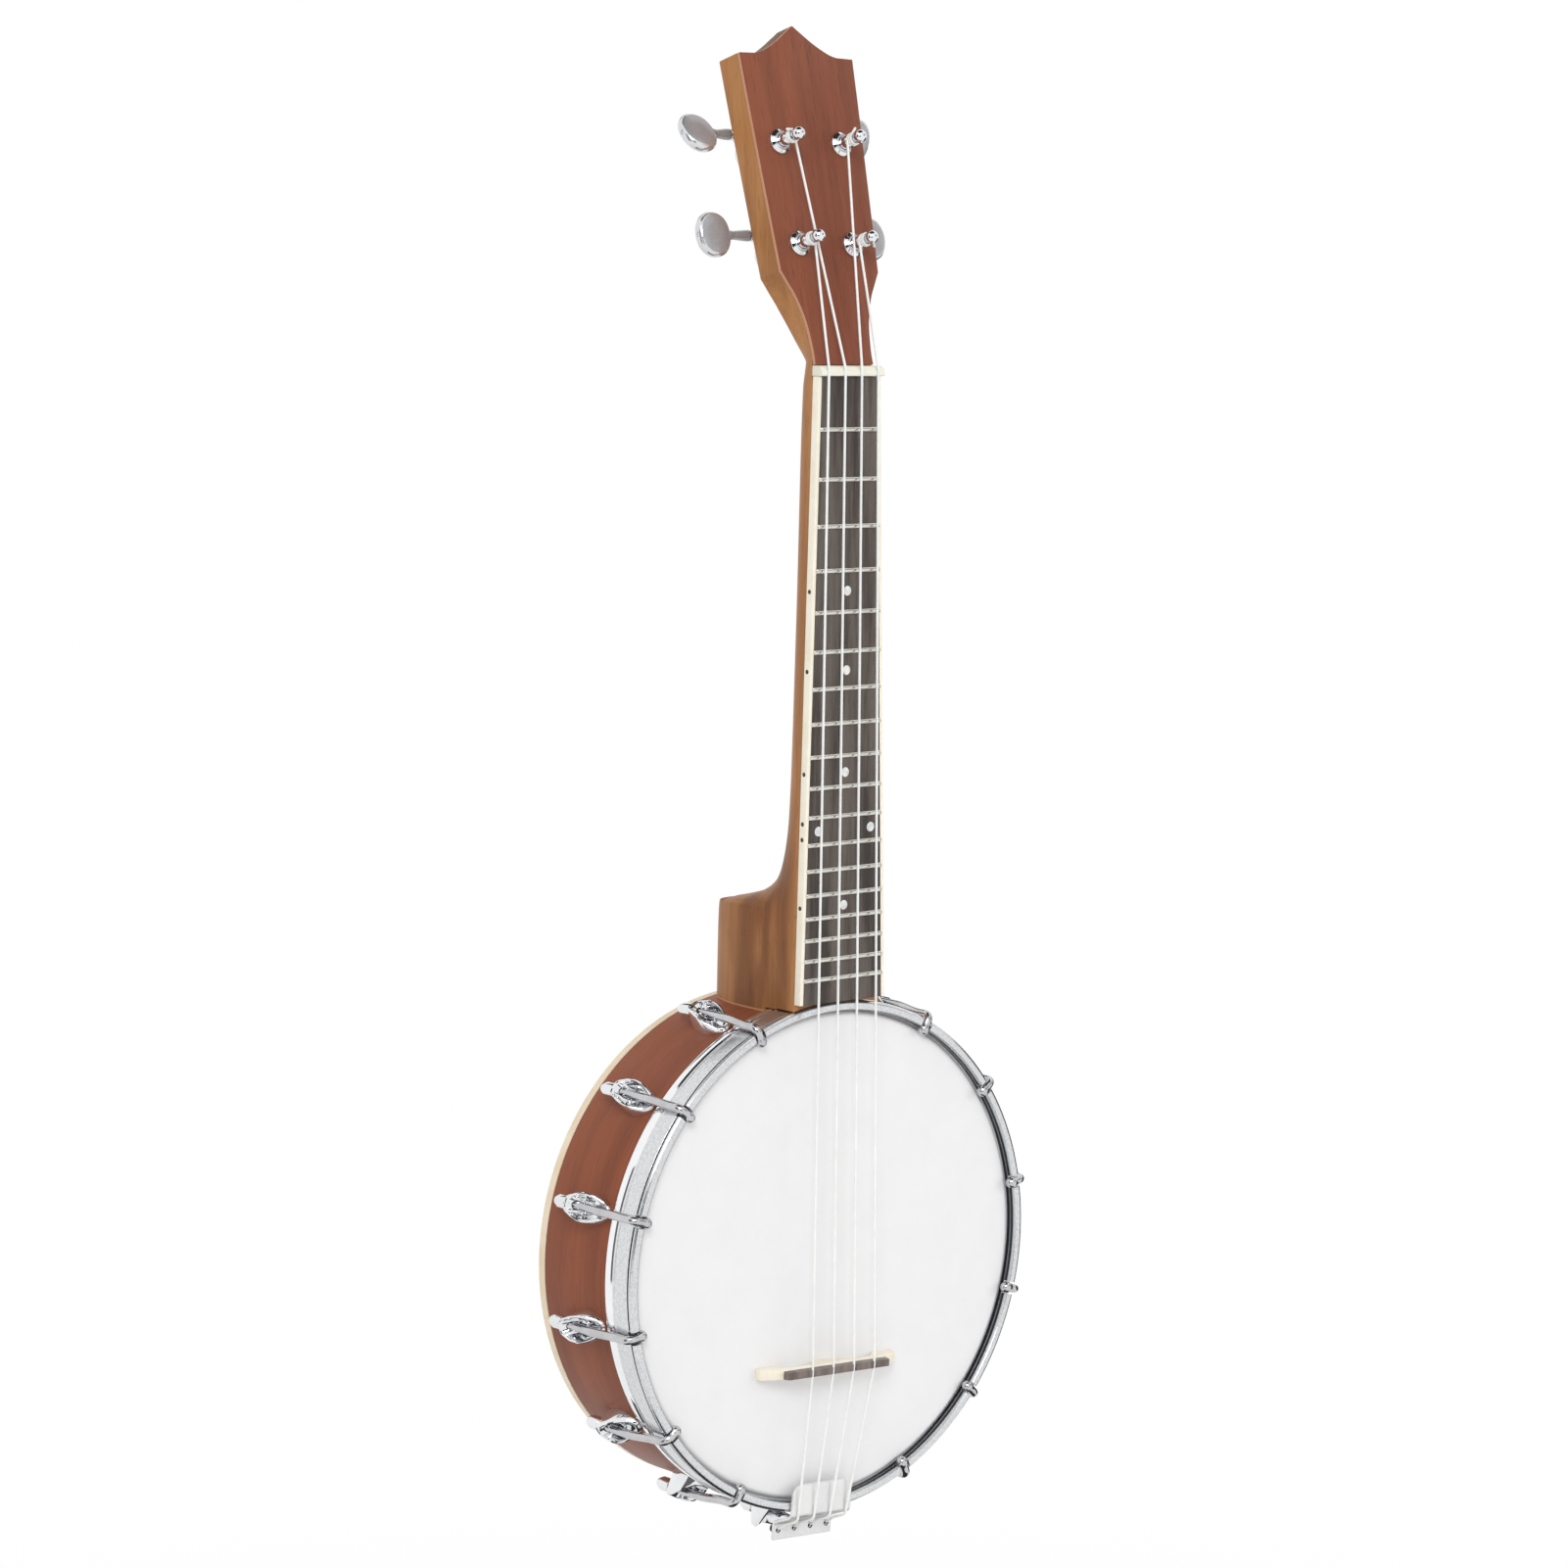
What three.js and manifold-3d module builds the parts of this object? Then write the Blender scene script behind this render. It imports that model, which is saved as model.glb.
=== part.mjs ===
// Banjo ukulele, upright, seen from the front: x to the right, y to the back, z up the neck.
// Sizes are millimetres. While it is modelled, the pot's centre is at x = 0, z = 0 and the
// fretboard's top face at y = 0; the last lines move the origin to the middle of the back.
import * as THREE from 'three';
import { mergeVertices } from 'three/addons/utils/BufferGeometryUtils.js';
import Module from 'manifold-3d';

const wasm = await Module();
wasm.setup();

// Driving dimensions of the whole instrument
const scaleLength = 380;
const rimOuterRadius = 105.3;
const potTurn = THREE.MathUtils.degToRad(2.7);
const stationCount = 14;
const facetsPerStation = 3;
const seatGap = 0.3;
const cutOver = 2;

// Pot: radii from the pot's axis, depths from the fretboard's top face
const hoopStandOut = 2;
const hoopWall = 3.9;
const hoopFront = 3;
const hoopDepth = 12.2;
const hoopChamfer = 0.7;
const hoopSkirtWall = 1.9;
const hoopLipDepth = 5.7;
const hoopNotchWidth = 4.2;
const filmFront = 6.75;
const filmThickness = 0.4;
const fleshRingWall = 2.6;
const fleshRingDepth = 4;
const toneRingDepth = 14.4;
const toneRingWall = 3.6;
const toneBearingWidth = 2.4;
const beadDepth = 6.6;
const beadStandOut = 1.7;
const beadChamfer = 0.8;
const rimWall = 10.3;
const rimDepth = 40.4;
const backThickness = 4.2;
const backBindingWidth = 2.9;
const backBindingChamfer = 0.9;

// Tension hooks and their shoes
const hookRadius = 1.65;
const hookFromHoop = 2.05;
const hookReachPastHoop = 1.8;
const hookBend = 2.5;
const hookClawDrop = 0.7;
const hookStubEnd = 53;
const hookNutRadius = 3.9;
const hookNutLength = 6.8;
const shoeFront = 24.2;
const shoeLength = 19.4;
const shoeHalfWidth = 6.5;
const shoeOverRod = 2.05;
const shoeFloor = 2.6;
const shoeWall = 1.7;
const shoeBoltRadius = 2.1;
const shoeNutRadius = 3.8;
const shoeNutHeight = 2.5;
const tailShoeOverStud = 5.4;
const tailStudHeadRadius = 3.2;
const tailStudHeadLength = 1.6;

// Tailpiece: one bent sheet
const sheetThickness = 1.2;
const tailPlateWidth = 33.4;
const tailPlateReach = 14.5;
const tailPlateCorner = 6;
const tailFlangeWidth = 31.6;
const tailFlangeHeight = 7.8;
const tailFlangeSetBack = 11.8;
const tailFlangeDrop = 3.9;
const tailHoleRadius = 1.1;
const tailHoleBelowBend = 3.3;

// Neck and fretboard
const boardThickness = 3.85;
const boardWidthAtNut = 33.2;
const boardWidthAtEnd = 45.8;
const boardBindingWidth = 1.8;
const boardPastLastFret = 10.1;
const boardFromHoop = 0.6;
const fretCount = 18;
const fretWidth = 2.2;
const fretHeight = 0.9;
const fretCrownWidth = 0.9;
const neckDepthAtNut = 15.6;
const heelDepth = 61;
const headTilt = THREE.MathUtils.degToRad(14.5);
const headLength = 141.5;
const headHalfWidth = 30.2;
const headThickness = 15;
const headBlendRun = 32;
const headBackShareAtNut = 0.66;
const headFaceDrop = 3.4;
const veneerThickness = 1.5;
const nutThickness = 3.9;
const nutHeight = 6.1;
const nutOverhang = 0.3;
const nutCrown = 0.9;
const rodRadius = 3;
const rodDepth = 52;
const rodIntoHeel = 24;
const rodNutRadius = 6;
const rodNutHeight = 2.8;
const rodEndRadius = 3.9;

// Bridge and strings
const bridgePastScale = 29.8;
const bridgeTopLength = 55.7;
const bridgeFootLength = 74;
const bridgeTopThickness = 3;
const bridgeFootThickness = 7;
const bridgeTopHeight = 4.2;
const bridgeFootHeight = 2.4;
const stringRadius = 0.5;
const stringCount = 4;
const stringSpacingAtNut = 8.8;
const stringSpacingAtBridge = 11.3;
const stringSpacingAtTail = 8.8;
const stringHeightAtNut = 2.2;
const stringHeightAtBridge = 3.7;
const stringSlotWidth = 1.7;
const stringPastFlange = 2.6;
const windingPitch = 1.5;
const windingExit = 6.8;
const stringTail = 3.2;
const stringSides = 6;
const stepsPerTurn = 24;

// Tuning machines
const upperPostX = 16.4;
const upperPostBelowTip = 49.1;
const lowerPostX = 14.2;
const postRowSpacing = 42.2;
const postRadius = 2.6;
const postHeight = 13.4;
const postTipChamfer = 0.7;
const bushingFlangeRadius = 5.2;
const bushingFlangeHeight = 1.1;
const bushingCollarRadius = 4.4;
const bushingCollarHeight = 1;
const bushingSleeveRadius = 4.1;
const bushingSleeveLength = 8;
const wormWheelRadius = 5.4;
const wormWheelTeeth = 14;
const wormWheelToothDepth = 0.9;
const wormWheelWidth = 4;
const wormRadius = 1.9;
const wormThrow = 0.7;
const wormHalfLength = 3.6;
const wormTurns = 2;
const wormToWheelGap = 0.4;
const keyAxisBehindFace = 20;
const keyShaftRadius = 1.6;
const keyCollarRadius = 2.7;
const keyCollarLength = 3;
const keyKnobRadius = 9.3;
const keyKnobThickness = 4.8;
const keyKnobEdge = 1.7;
const keyKnobLengthShare = 0.84;
const keyKnobCentre = 42;
const housingWall = 1;
const housingDepth = 10;
const housingHalfWidth = 6.9;
const housingBelowPost = 6.9;
const housingAboveKey = 4.6;

// Places that follow from the sizes above
const facetCount = stationCount * facetsPerStation;
const stationAngle = (2 * Math.PI) / stationCount;
const halfFacet = Math.PI / facetCount;
const hoopOuterRadius = rimOuterRadius + hoopStandOut;
const hoopInnerRadius = hoopOuterRadius - hoopWall;
const hookAxisRadius = hoopOuterRadius + hookFromHoop + hookRadius;
const hoopBack = hoopFront + hoopDepth;
const hoopLipBack = hoopFront + hoopLipDepth;
const hoopNotchFloor = hoopFront + 2 * hookRadius - (hookRadius - hookClawDrop) + seatGap;
const hookPassDepth = hoopNotchFloor - seatGap - hookRadius;
const fleshRingOuterRadius = hoopOuterRadius - hoopSkirtWall - seatGap;
const fleshRingInnerRadius = fleshRingOuterRadius - fleshRingWall;
const toneRingOuterRadius = fleshRingInnerRadius - 2 * seatGap;
const toneRingInnerRadius = toneRingOuterRadius - toneRingWall;
const toneRingFront = filmFront + filmThickness + seatGap;
const toneRingBack = toneRingFront + toneRingDepth;
const beadFront = hoopBack + seatGap;
const beadBack = beadFront + beadDepth;
const beadOuterRadius = rimOuterRadius + beadStandOut;
const rimFront = Math.max(toneRingBack, beadBack) + seatGap;
const rimBack = rimFront + rimDepth;
const rimInnerRadius = rimOuterRadius - rimWall;
const backFront = rimBack + seatGap;
const backFace = backFront + backThickness;
const rimFlatRadius = rimOuterRadius * Math.cos(halfFacet);
const rimInnerFlatRadius = rimInnerRadius * Math.cos(halfFacet);
const boardEnd = hoopOuterRadius + boardFromHoop;
const nutAbovePot = boardEnd + boardPastLastFret + nutToFret(fretCount);
const bridgeBelowPotCentre = scaleLength + bridgePastScale - nutAbovePot;
const boardUnder = boardThickness + seatGap;
const headstockStart = nutAbovePot + nutThickness + 2 * seatGap;
const slabFront = veneerThickness + seatGap;
const upperPostRun = headLength - upperPostBelowTip;
const lowerPostRun = upperPostRun - postRowSpacing;
const keyRunPastPost = wormWheelRadius + wormRadius + wormThrow + wormToWheelGap;
const windingRadius = postRadius + seatGap + stringRadius;
const yAxis = new THREE.Vector3(0, 1, 0);

function finish(color, roughness, metalness) {
  return new THREE.MeshStandardMaterial({ color, roughness, metalness });
}

const darkWood = () => finish(0x7c4a35, 0.38, 0);
const lightWood = () => finish(0xb5854f, 0.4, 0);
const veneerWood = () => finish(0x8f5341, 0.35, 0);
const boardWood = () => finish(0x4a3f3c, 0.5, 0);
const creamPlastic = () => finish(0xf5ead6, 0.35, 0);
const bridgeWood = () => finish(0xeedfba, 0.5, 0);
const whiteFilm = () => finish(0xf1f1f0, 0.55, 0);
const chrome = () => finish(0xd4d6d8, 0.14, 1);
const steel = () => finish(0xa9abad, 0.35, 1);
const whiteNylon = () => finish(0xf4f5f2, 0.3, 0);

// Closed geometry to a solid that can be cut and joined, and back
function toSolid(geometry) {
  const bare = geometry.clone();
  bare.deleteAttribute('normal');
  bare.deleteAttribute('uv');
  const merged = mergeVertices(bare);
  const vertProperties = new Float32Array(merged.attributes.position.array);
  const triVerts = new Uint32Array(merged.index.array);
  return new wasm.Manifold(new wasm.Mesh({ numProp: 3, vertProperties, triVerts }));
}

function toGeometry(solid) {
  const mesh = solid.getMesh();
  const geometry = new THREE.BufferGeometry();
  geometry.setAttribute('position', new THREE.BufferAttribute(mesh.vertProperties, 3));
  geometry.setIndex(new THREE.BufferAttribute(mesh.triVerts, 1));
  geometry.computeVertexNormals();
  return geometry;
}

function cutFrom(geometry, cutters) {
  const body = toSolid(geometry);
  return toGeometry(cutters.reduce((left, cutter) => left.subtract(toSolid(cutter)), body));
}

function joined(geometries) {
  const [first, ...others] = geometries.map(toSolid);
  return toGeometry(others.reduce((whole, other) => whole.add(other), first));
}

// A box given by its lowest and highest corners
function boxBetween(low, high) {
  const geometry = new THREE.BoxGeometry(high[0] - low[0], high[1] - low[1], high[2] - low[2]);
  geometry.translate((high[0] + low[0]) / 2, (high[1] + low[1]) / 2, (high[2] + low[2]) / 2);
  return geometry;
}

// A ring or disc about the y axis from a profile of radius and depth pairs, listed from the
// front of the inside, out and to the back; a profile off the axis closes on itself
function turnedAboutY(profile, sides, start = 0) {
  const points = profile.map(([radius, depth]) => new THREE.Vector2(radius, depth));
  if (profile[0][0] > 0) points.push(points[0].clone());
  return new THREE.LatheGeometry(points, sides, start);
}

function potRing(profile) {
  return turnedAboutY(profile, facetCount, halfFacet);
}

// An outline in x and z made a slab that reaches from one depth to another
function slabThrough(shape, fromDepth, toDepth) {
  const geometry = new THREE.ExtrudeGeometry(shape, { depth: toDepth - fromDepth, bevelEnabled: false });
  geometry.rotateX(Math.PI / 2);
  geometry.translate(0, toDepth, 0);
  return geometry;
}

// A round bar along y, x or z between two places
function barAlongY(radius, from, to, sides) {
  const geometry = new THREE.CylinderGeometry(radius, radius, to - from, sides);
  geometry.translate(0, (from + to) / 2, 0);
  return geometry;
}

function barAlongZ(radius, from, to, sides) {
  return barAlongY(radius, from, to, sides).rotateX(Math.PI / 2);
}

function barAlongX(radius, from, to, sides) {
  return barAlongY(radius, from, to, sides).rotateZ(-Math.PI / 2);
}

// A closed skin over a row of loops with the same number of points each
function skinOver(loops) {
  const count = loops[0].length;
  const last = (loops.length - 1) * count;
  const positions = loops.flat().flatMap((point) => point.toArray());
  const index = [];
  for (let ring = 0; ring < last; ring += count) {
    for (let k = 0; k < count; k += 1) {
      const next = (k + 1) % count;
      index.push(ring + k, ring + next, ring + count + next);
      index.push(ring + k, ring + count + next, ring + count + k);
    }
  }
  for (let k = 1; k < count - 1; k += 1) {
    index.push(0, k + 1, k);
    index.push(last, last + k, last + k + 1);
  }
  const geometry = new THREE.BufferGeometry();
  geometry.setAttribute('position', new THREE.Float32BufferAttribute(positions, 3));
  geometry.setIndex(index);
  geometry.computeVertexNormals();
  return geometry;
}

// A round tube through a list of points, its section carried along without twist
function tubeThrough(points, radius, sides) {
  const normal = new THREE.Vector3();
  const loops = points.map((point, k) => {
    const before = points[Math.max(k - 1, 0)];
    const after = points[Math.min(k + 1, points.length - 1)];
    const along = after.clone().sub(before).normalize();
    if (k === 0) {
      const spare = Math.abs(along.y) < Math.SQRT1_2 ? yAxis : new THREE.Vector3(1, 0, 0);
      normal.crossVectors(along, spare).normalize();
    } else {
      normal.addScaledVector(along, -normal.dot(along)).normalize();
    }
    const side = new THREE.Vector3().crossVectors(along, normal);
    return Array.from({ length: sides }, (_, s) => {
      const angle = (2 * Math.PI * s) / sides;
      return point.clone()
        .addScaledVector(normal, radius * Math.cos(angle))
        .addScaledVector(side, radius * Math.sin(angle));
    });
  });
  return skinOver(loops);
}

function outline(points) {
  return new THREE.Shape(points.map(([x, y]) => new THREE.Vector2(x, y)));
}

function mirroredOutline(points) {
  const left = points.filter(([x]) => x > 0).map(([x, y]) => [-x, y]).reverse();
  return outline([...points, ...left]);
}

function boardHalfWidth(z) {
  const share = (z - boardEnd) / (nutAbovePot - boardEnd);
  return THREE.MathUtils.lerp(boardWidthAtEnd, boardWidthAtNut, share) / 2;
}

// Distance from the nut to a fret, twelve frets to each halving of the string
function nutToFret(number) {
  return scaleLength * (1 - 2 ** (-number / 12));
}

const model = new THREE.Group();
const pot = new THREE.Group();
pot.rotation.y = potTurn;
model.add(pot);
const headstock = new THREE.Group();
headstock.position.set(0, headFaceDrop, headstockStart);
headstock.rotation.x = -headTilt;
model.add(headstock);
headstock.updateMatrix();

function place(name, geometry, material, parent) {
  const mesh = new THREE.Mesh(geometry, material);
  mesh.name = name;
  parent.add(mesh);
  return mesh;
}

// A group at one of the stations round the pot; its z axis points out from the pot's centre
function stationGroup(number) {
  const group = new THREE.Group();
  group.rotation.y = number * stationAngle;
  pot.add(group);
  return group;
}

// Wooden rim with holes for the shoe bolts and the coordinator rod
function makeRim() {
  const ring = potRing([
    [rimInnerRadius, rimFront],
    [rimOuterRadius, rimFront],
    [rimOuterRadius, rimBack],
    [rimInnerRadius, rimBack],
  ]);
  const from = rimInnerRadius - cutOver;
  const to = rimOuterRadius + cutOver;
  const holes = [];
  for (let station = 1; station < stationCount; station += 1) {
    const hole = barAlongZ(shoeBoltRadius + seatGap, from, to, 6);
    hole.translate(0, shoeBoltDepth(), 0);
    hole.rotateY(station * stationAngle);
    holes.push(hole);
  }
  const rodHole = barAlongZ(rodRadius + seatGap, from, to, 8);
  rodHole.translate(0, rodDepth, 0);
  rodHole.rotateY(-potTurn);
  const rodEndHole = barAlongZ(rodEndRadius + seatGap, -to, -from, 8);
  rodEndHole.translate(0, rodDepth, 0);
  rodEndHole.rotateY(-potTurn);
  return cutFrom(ring, [...holes, rodHole, rodEndHole]);
}

// Metal ring on the rim: its front edge carries the film, its bead shows below the hoop
function makeToneRing() {
  return potRing([
    [toneRingInnerRadius, toneRingFront],
    [toneRingInnerRadius + toneBearingWidth, toneRingFront],
    [toneRingOuterRadius, toneRingFront + toneRingWall - toneBearingWidth],
    [toneRingOuterRadius, beadFront],
    [beadOuterRadius - beadChamfer, beadFront],
    [beadOuterRadius, beadFront + beadChamfer],
    [beadOuterRadius, beadBack - beadChamfer],
    [beadOuterRadius - beadChamfer, beadBack],
    [toneRingInnerRadius, beadBack],
  ]);
}

// Playing film with the flesh ring that is set in its edge
function makeDrumHead() {
  const shoulder = toneRingOuterRadius - seatGap;
  const ringFront = hoopLipBack + seatGap;
  return potRing([
    [0, filmFront],
    [shoulder, filmFront],
    [fleshRingInnerRadius + filmThickness, ringFront],
    [fleshRingOuterRadius, ringFront],
    [fleshRingOuterRadius, ringFront + fleshRingDepth],
    [fleshRingInnerRadius, ringFront + fleshRingDepth],
    [fleshRingInnerRadius, ringFront + filmThickness],
    [shoulder, filmFront + filmThickness],
    [0, filmFront + filmThickness],
  ]);
}

// Hoop with a groove behind its lip for the flesh ring, and a notch for each hook
function makeTensionHoop() {
  const skirtInnerRadius = hoopOuterRadius - hoopSkirtWall;
  const ring = potRing([
    [hoopInnerRadius, hoopFront + hoopChamfer],
    [hoopInnerRadius + hoopChamfer, hoopFront],
    [hoopOuterRadius - hoopChamfer, hoopFront],
    [hoopOuterRadius, hoopFront + hoopChamfer],
    [hoopOuterRadius, hoopBack],
    [skirtInnerRadius, hoopBack],
    [skirtInnerRadius, hoopLipBack],
    [hoopInnerRadius, hoopLipBack],
  ]);
  const notches = [];
  for (let station = 1; station < stationCount; station += 1) {
    if (2 * station === stationCount) continue;
    const notch = boxBetween(
      [-hoopNotchWidth / 2, hoopFront - cutOver, hoopInnerRadius - cutOver],
      [hoopNotchWidth / 2, hoopNotchFloor, hoopOuterRadius + cutOver],
    );
    notches.push(notch.rotateY(station * stationAngle));
  }
  return cutFrom(ring, notches);
}

function makeBackBinding() {
  return potRing([
    [rimOuterRadius - backBindingWidth, backFront],
    [rimOuterRadius, backFront],
    [rimOuterRadius, backFace - backBindingChamfer],
    [rimOuterRadius - backBindingChamfer, backFace],
    [rimOuterRadius - backBindingWidth, backFace],
  ]);
}

function makeBackPanel() {
  const edge = rimOuterRadius - backBindingWidth - seatGap;
  return potRing([[0, backFront], [edge, backFront], [edge, backFace], [0, backFace]]);
}

function shoeBoltDepth() {
  return shoeFront + shoeLength / 2;
}

// Hook in its station's frame: a bent rod with its nut, whose claw drops in the hoop's notch
function makeHook() {
  const clawEnd = hoopInnerRadius - hookReachPastHoop;
  const bendMiddle = hookBend * (1 - Math.SQRT1_2);
  const rod = tubeThrough([
    new THREE.Vector3(0, hookStubEnd, hookAxisRadius),
    new THREE.Vector3(0, hookPassDepth + hookBend, hookAxisRadius),
    new THREE.Vector3(0, hookPassDepth + bendMiddle, hookAxisRadius - bendMiddle),
    new THREE.Vector3(0, hookPassDepth, hookAxisRadius - hookBend),
    new THREE.Vector3(0, hookPassDepth, hoopInnerRadius),
    new THREE.Vector3(0, hookPassDepth + hookClawDrop, clawEnd),
  ], hookRadius, 8);
  const nut = barAlongY(hookNutRadius, shoeBack() + seatGap, shoeBack() + seatGap + hookNutLength, 6);
  nut.translate(0, 0, hookAxisRadius);
  return joined([rod, nut]);
}

function shoeBack() {
  return shoeFront + shoeLength;
}

// Cast shoe in its station's frame: a pear-shaped cup on the rim and its bolt through the wood
const shoeRunShares = [0, 0.24, 0.62, 0.9, 1];
const shoeWidthShares = [0.34, 0.74, 1, 0.8, 0.5];
const pocketRunShares = [0.16, 0.55, 0.83];
const pocketWidthShares = [0.3, 1, 0.72];

function makeShoeBody(topRadius) {
  const seat = rimFlatRadius + seatGap;
  const height = topRadius - seat;
  const sideOf = (runShares, widthShares, halfWidth) => runShares.map(
    (share, k) => [halfWidth * widthShares[k], shoeFront + shoeLength * share],
  );
  const body = new THREE.ExtrudeGeometry(
    mirroredOutline(sideOf(shoeRunShares, shoeWidthShares, shoeHalfWidth)),
    { depth: height, bevelEnabled: false },
  );
  body.translate(0, 0, seat);
  const pocket = new THREE.ExtrudeGeometry(
    mirroredOutline(sideOf(pocketRunShares, pocketWidthShares, shoeHalfWidth - shoeWall)),
    { depth: height, bevelEnabled: false },
  );
  pocket.translate(0, 0, seat + shoeFloor);
  return cutFrom(body, [pocket]);
}

function makeShoeBolt() {
  const nutTop = rimInnerFlatRadius - seatGap;
  const bolt = turnedAboutY([
    [0, nutTop - shoeNutHeight],
    [shoeNutRadius, nutTop - shoeNutHeight],
    [shoeNutRadius, nutTop],
    [shoeBoltRadius, nutTop],
    [shoeBoltRadius, rimFlatRadius + shoeFloor / 2],
    [0, rimFlatRadius + shoeFloor / 2],
  ], 6);
  bolt.rotateX(Math.PI / 2);
  bolt.translate(0, shoeBoltDepth(), 0);
  return bolt;
}

function makeShoe() {
  const clear = hookRadius + seatGap;
  const shoeTop = hookAxisRadius + hookRadius + shoeOverRod;
  const frontSlot = boxBetween(
    [-clear, shoeFront - cutOver, hookAxisRadius - clear],
    [clear, shoeFront + shoeLength * pocketRunShares[1], shoeTop + cutOver],
  );
  const rearHole = barAlongY(clear, shoeFront + shoeLength * pocketRunShares[1], shoeBack() + cutOver, 8);
  rearHole.translate(0, 0, hookAxisRadius);
  return joined([cutFrom(makeShoeBody(shoeTop), [frontSlot, rearHole]), makeShoeBolt()]);
}

// Taller shoe at the tail, with the stud that pulls the tailpiece's flange back
function tailStudRadius() {
  return flangeTopRadius() + tailFlangeHeight / 2 - tailStudHeadRadius / 2;
}

function makeTailBracket() {
  const flangeBack = hoopFront + tailFlangeSetBack - seatGap;
  const head = barAlongY(tailStudHeadRadius, flangeBack + seatGap, flangeBack + seatGap + tailStudHeadLength, 8);
  const stud = barAlongY(hookRadius, flangeBack + 2 * seatGap, hookStubEnd, 8);
  const nut = barAlongY(hookNutRadius, shoeBack() - seatGap, shoeBack() + hookNutLength, 6);
  const studParts = [head, stud, nut].map((part) => part.translate(0, 0, tailStudRadius()));
  const topRadius = tailStudRadius() + hookRadius + tailShoeOverStud;
  return joined([makeShoeBody(topRadius), ...studParts, makeShoeBolt()]);
}

// Tailpiece in the pot's frame: plate over the hoop, bend, and a flange with the string holes
function flangeTopRadius() {
  return hoopOuterRadius + sheetThickness + tailFlangeDrop;
}

function makeTailpiece() {
  const plateFront = hoopFront - seatGap - sheetThickness;
  const plateBack = hoopFront - seatGap;
  const bendInner = hoopOuterRadius + seatGap;
  const bendOuter = bendInner + sheetThickness;
  const flangeFront = hoopFront + tailFlangeSetBack - 2 * seatGap - sheetThickness;
  const flangeBack = hoopFront + tailFlangeSetBack - 2 * seatGap;
  const flangeTop = flangeTopRadius();
  const flangeFoot = flangeTop + tailFlangeHeight;
  const profile = outline([
    [hoopOuterRadius - tailPlateReach, plateFront],
    [bendOuter - sheetThickness, plateFront],
    [bendOuter, plateFront + sheetThickness],
    [flangeTop + sheetThickness, flangeFront],
    [flangeFoot, flangeFront],
    [flangeFoot, flangeBack],
    [flangeTop, flangeBack],
    [bendInner, plateBack + sheetThickness],
    [bendInner, plateBack],
    [hoopOuterRadius - tailPlateReach, plateBack],
  ]);
  const sheet = new THREE.ExtrudeGeometry(profile, { depth: tailPlateWidth, bevelEnabled: false });
  sheet.rotateY(Math.PI / 2);
  sheet.translate(-tailPlateWidth / 2, 0, 0);
  const tip = -(hoopOuterRadius - tailPlateReach);
  const face = mirroredOutline([
    [tailPlateWidth / 2 - tailPlateCorner, tip],
    [tailPlateWidth / 2 - tailPlateCorner * (1 - Math.SQRT1_2), tip - tailPlateCorner * (1 - Math.SQRT1_2)],
    [tailPlateWidth / 2, tip - tailPlateCorner],
    [tailPlateWidth / 2, -bendOuter],
    [tailFlangeWidth / 2, -flangeTop],
    [tailFlangeWidth / 2, -flangeFoot],
  ].reverse());
  const faceSlab = slabThrough(face, plateFront - cutOver, flangeBack + cutOver);
  const shaped = toGeometry(toSolid(sheet).intersect(toSolid(faceSlab)));
  const holes = stringOffsets(stringSpacingAtTail).map((x) => {
    const hole = barAlongY(tailHoleRadius, flangeFront - cutOver, flangeBack + cutOver, 8);
    return hole.translate(x, 0, -(flangeTop + tailHoleBelowBend));
  });
  return cutFrom(shaped, holes);
}

function stringOffsets(spacing) {
  const middle = (stringCount - 1) / 2;
  return Array.from({ length: stringCount }, (_, k) => (k - middle) * spacing);
}

// Neck: run from the pot to the nut, depth from the thin neck to the full heel, squareness
const neckRunShares = [-0.04, 0.135, 0.149, 0.158, 0.166, 0.178, 0.2, 0.235, 0.28, 0.38, 0.66, 0.91, 1.03];
const neckDepthShares = [1, 1, 0.95, 0.84, 0.66, 0.44, 0.26, 0.14, 0.05, 0.03, 0, 0, -0.03];
const neckSquareness = [4.5, 4.5, 4.3, 3.8, 3, 2.5, 2.2, 2.2, 2.2, 2.2, 2.2, 2.2, 2.2];
const neckSectionSteps = 12;

function makeNeckShaft() {
  const run = nutAbovePot - rimOuterRadius;
  const loops = neckRunShares.map((share, k) => {
    const z = rimOuterRadius + run * share;
    const half = boardHalfWidth(z);
    const depth = THREE.MathUtils.lerp(neckDepthAtNut, heelDepth, neckDepthShares[k]);
    const power = 2 / neckSquareness[k];
    return Array.from({ length: neckSectionSteps + 1 }, (_, step) => {
      const angle = (Math.PI * step) / neckSectionSteps;
      const across = step * 2 === neckSectionSteps ? 0 : Math.cos(angle);
      const x = half * Math.sign(across) * Math.abs(across) ** power;
      const rise = step % neckSectionSteps === 0 ? 0 : Math.sin(angle) ** power;
      return new THREE.Vector3(x, boardUnder + depth * rise, z);
    });
  });
  return skinOver(loops);
}

// Headstock outline, right half from the nut to the crown's tip
const headRunShares = [0, 0.045, 0.125, 0.195, 0.24, 0.27, 0.31, 0.43, 0.74, 0.912, 0.914, 0.928, 0.952, 0.978, 1];
const headWidthShares = [0.516, 0.513, 0.555, 0.658, 0.77, 0.84, 0.874, 0.9, 0.974, 1, 0.71, 0.53, 0.32, 0.15, 0];

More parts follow.
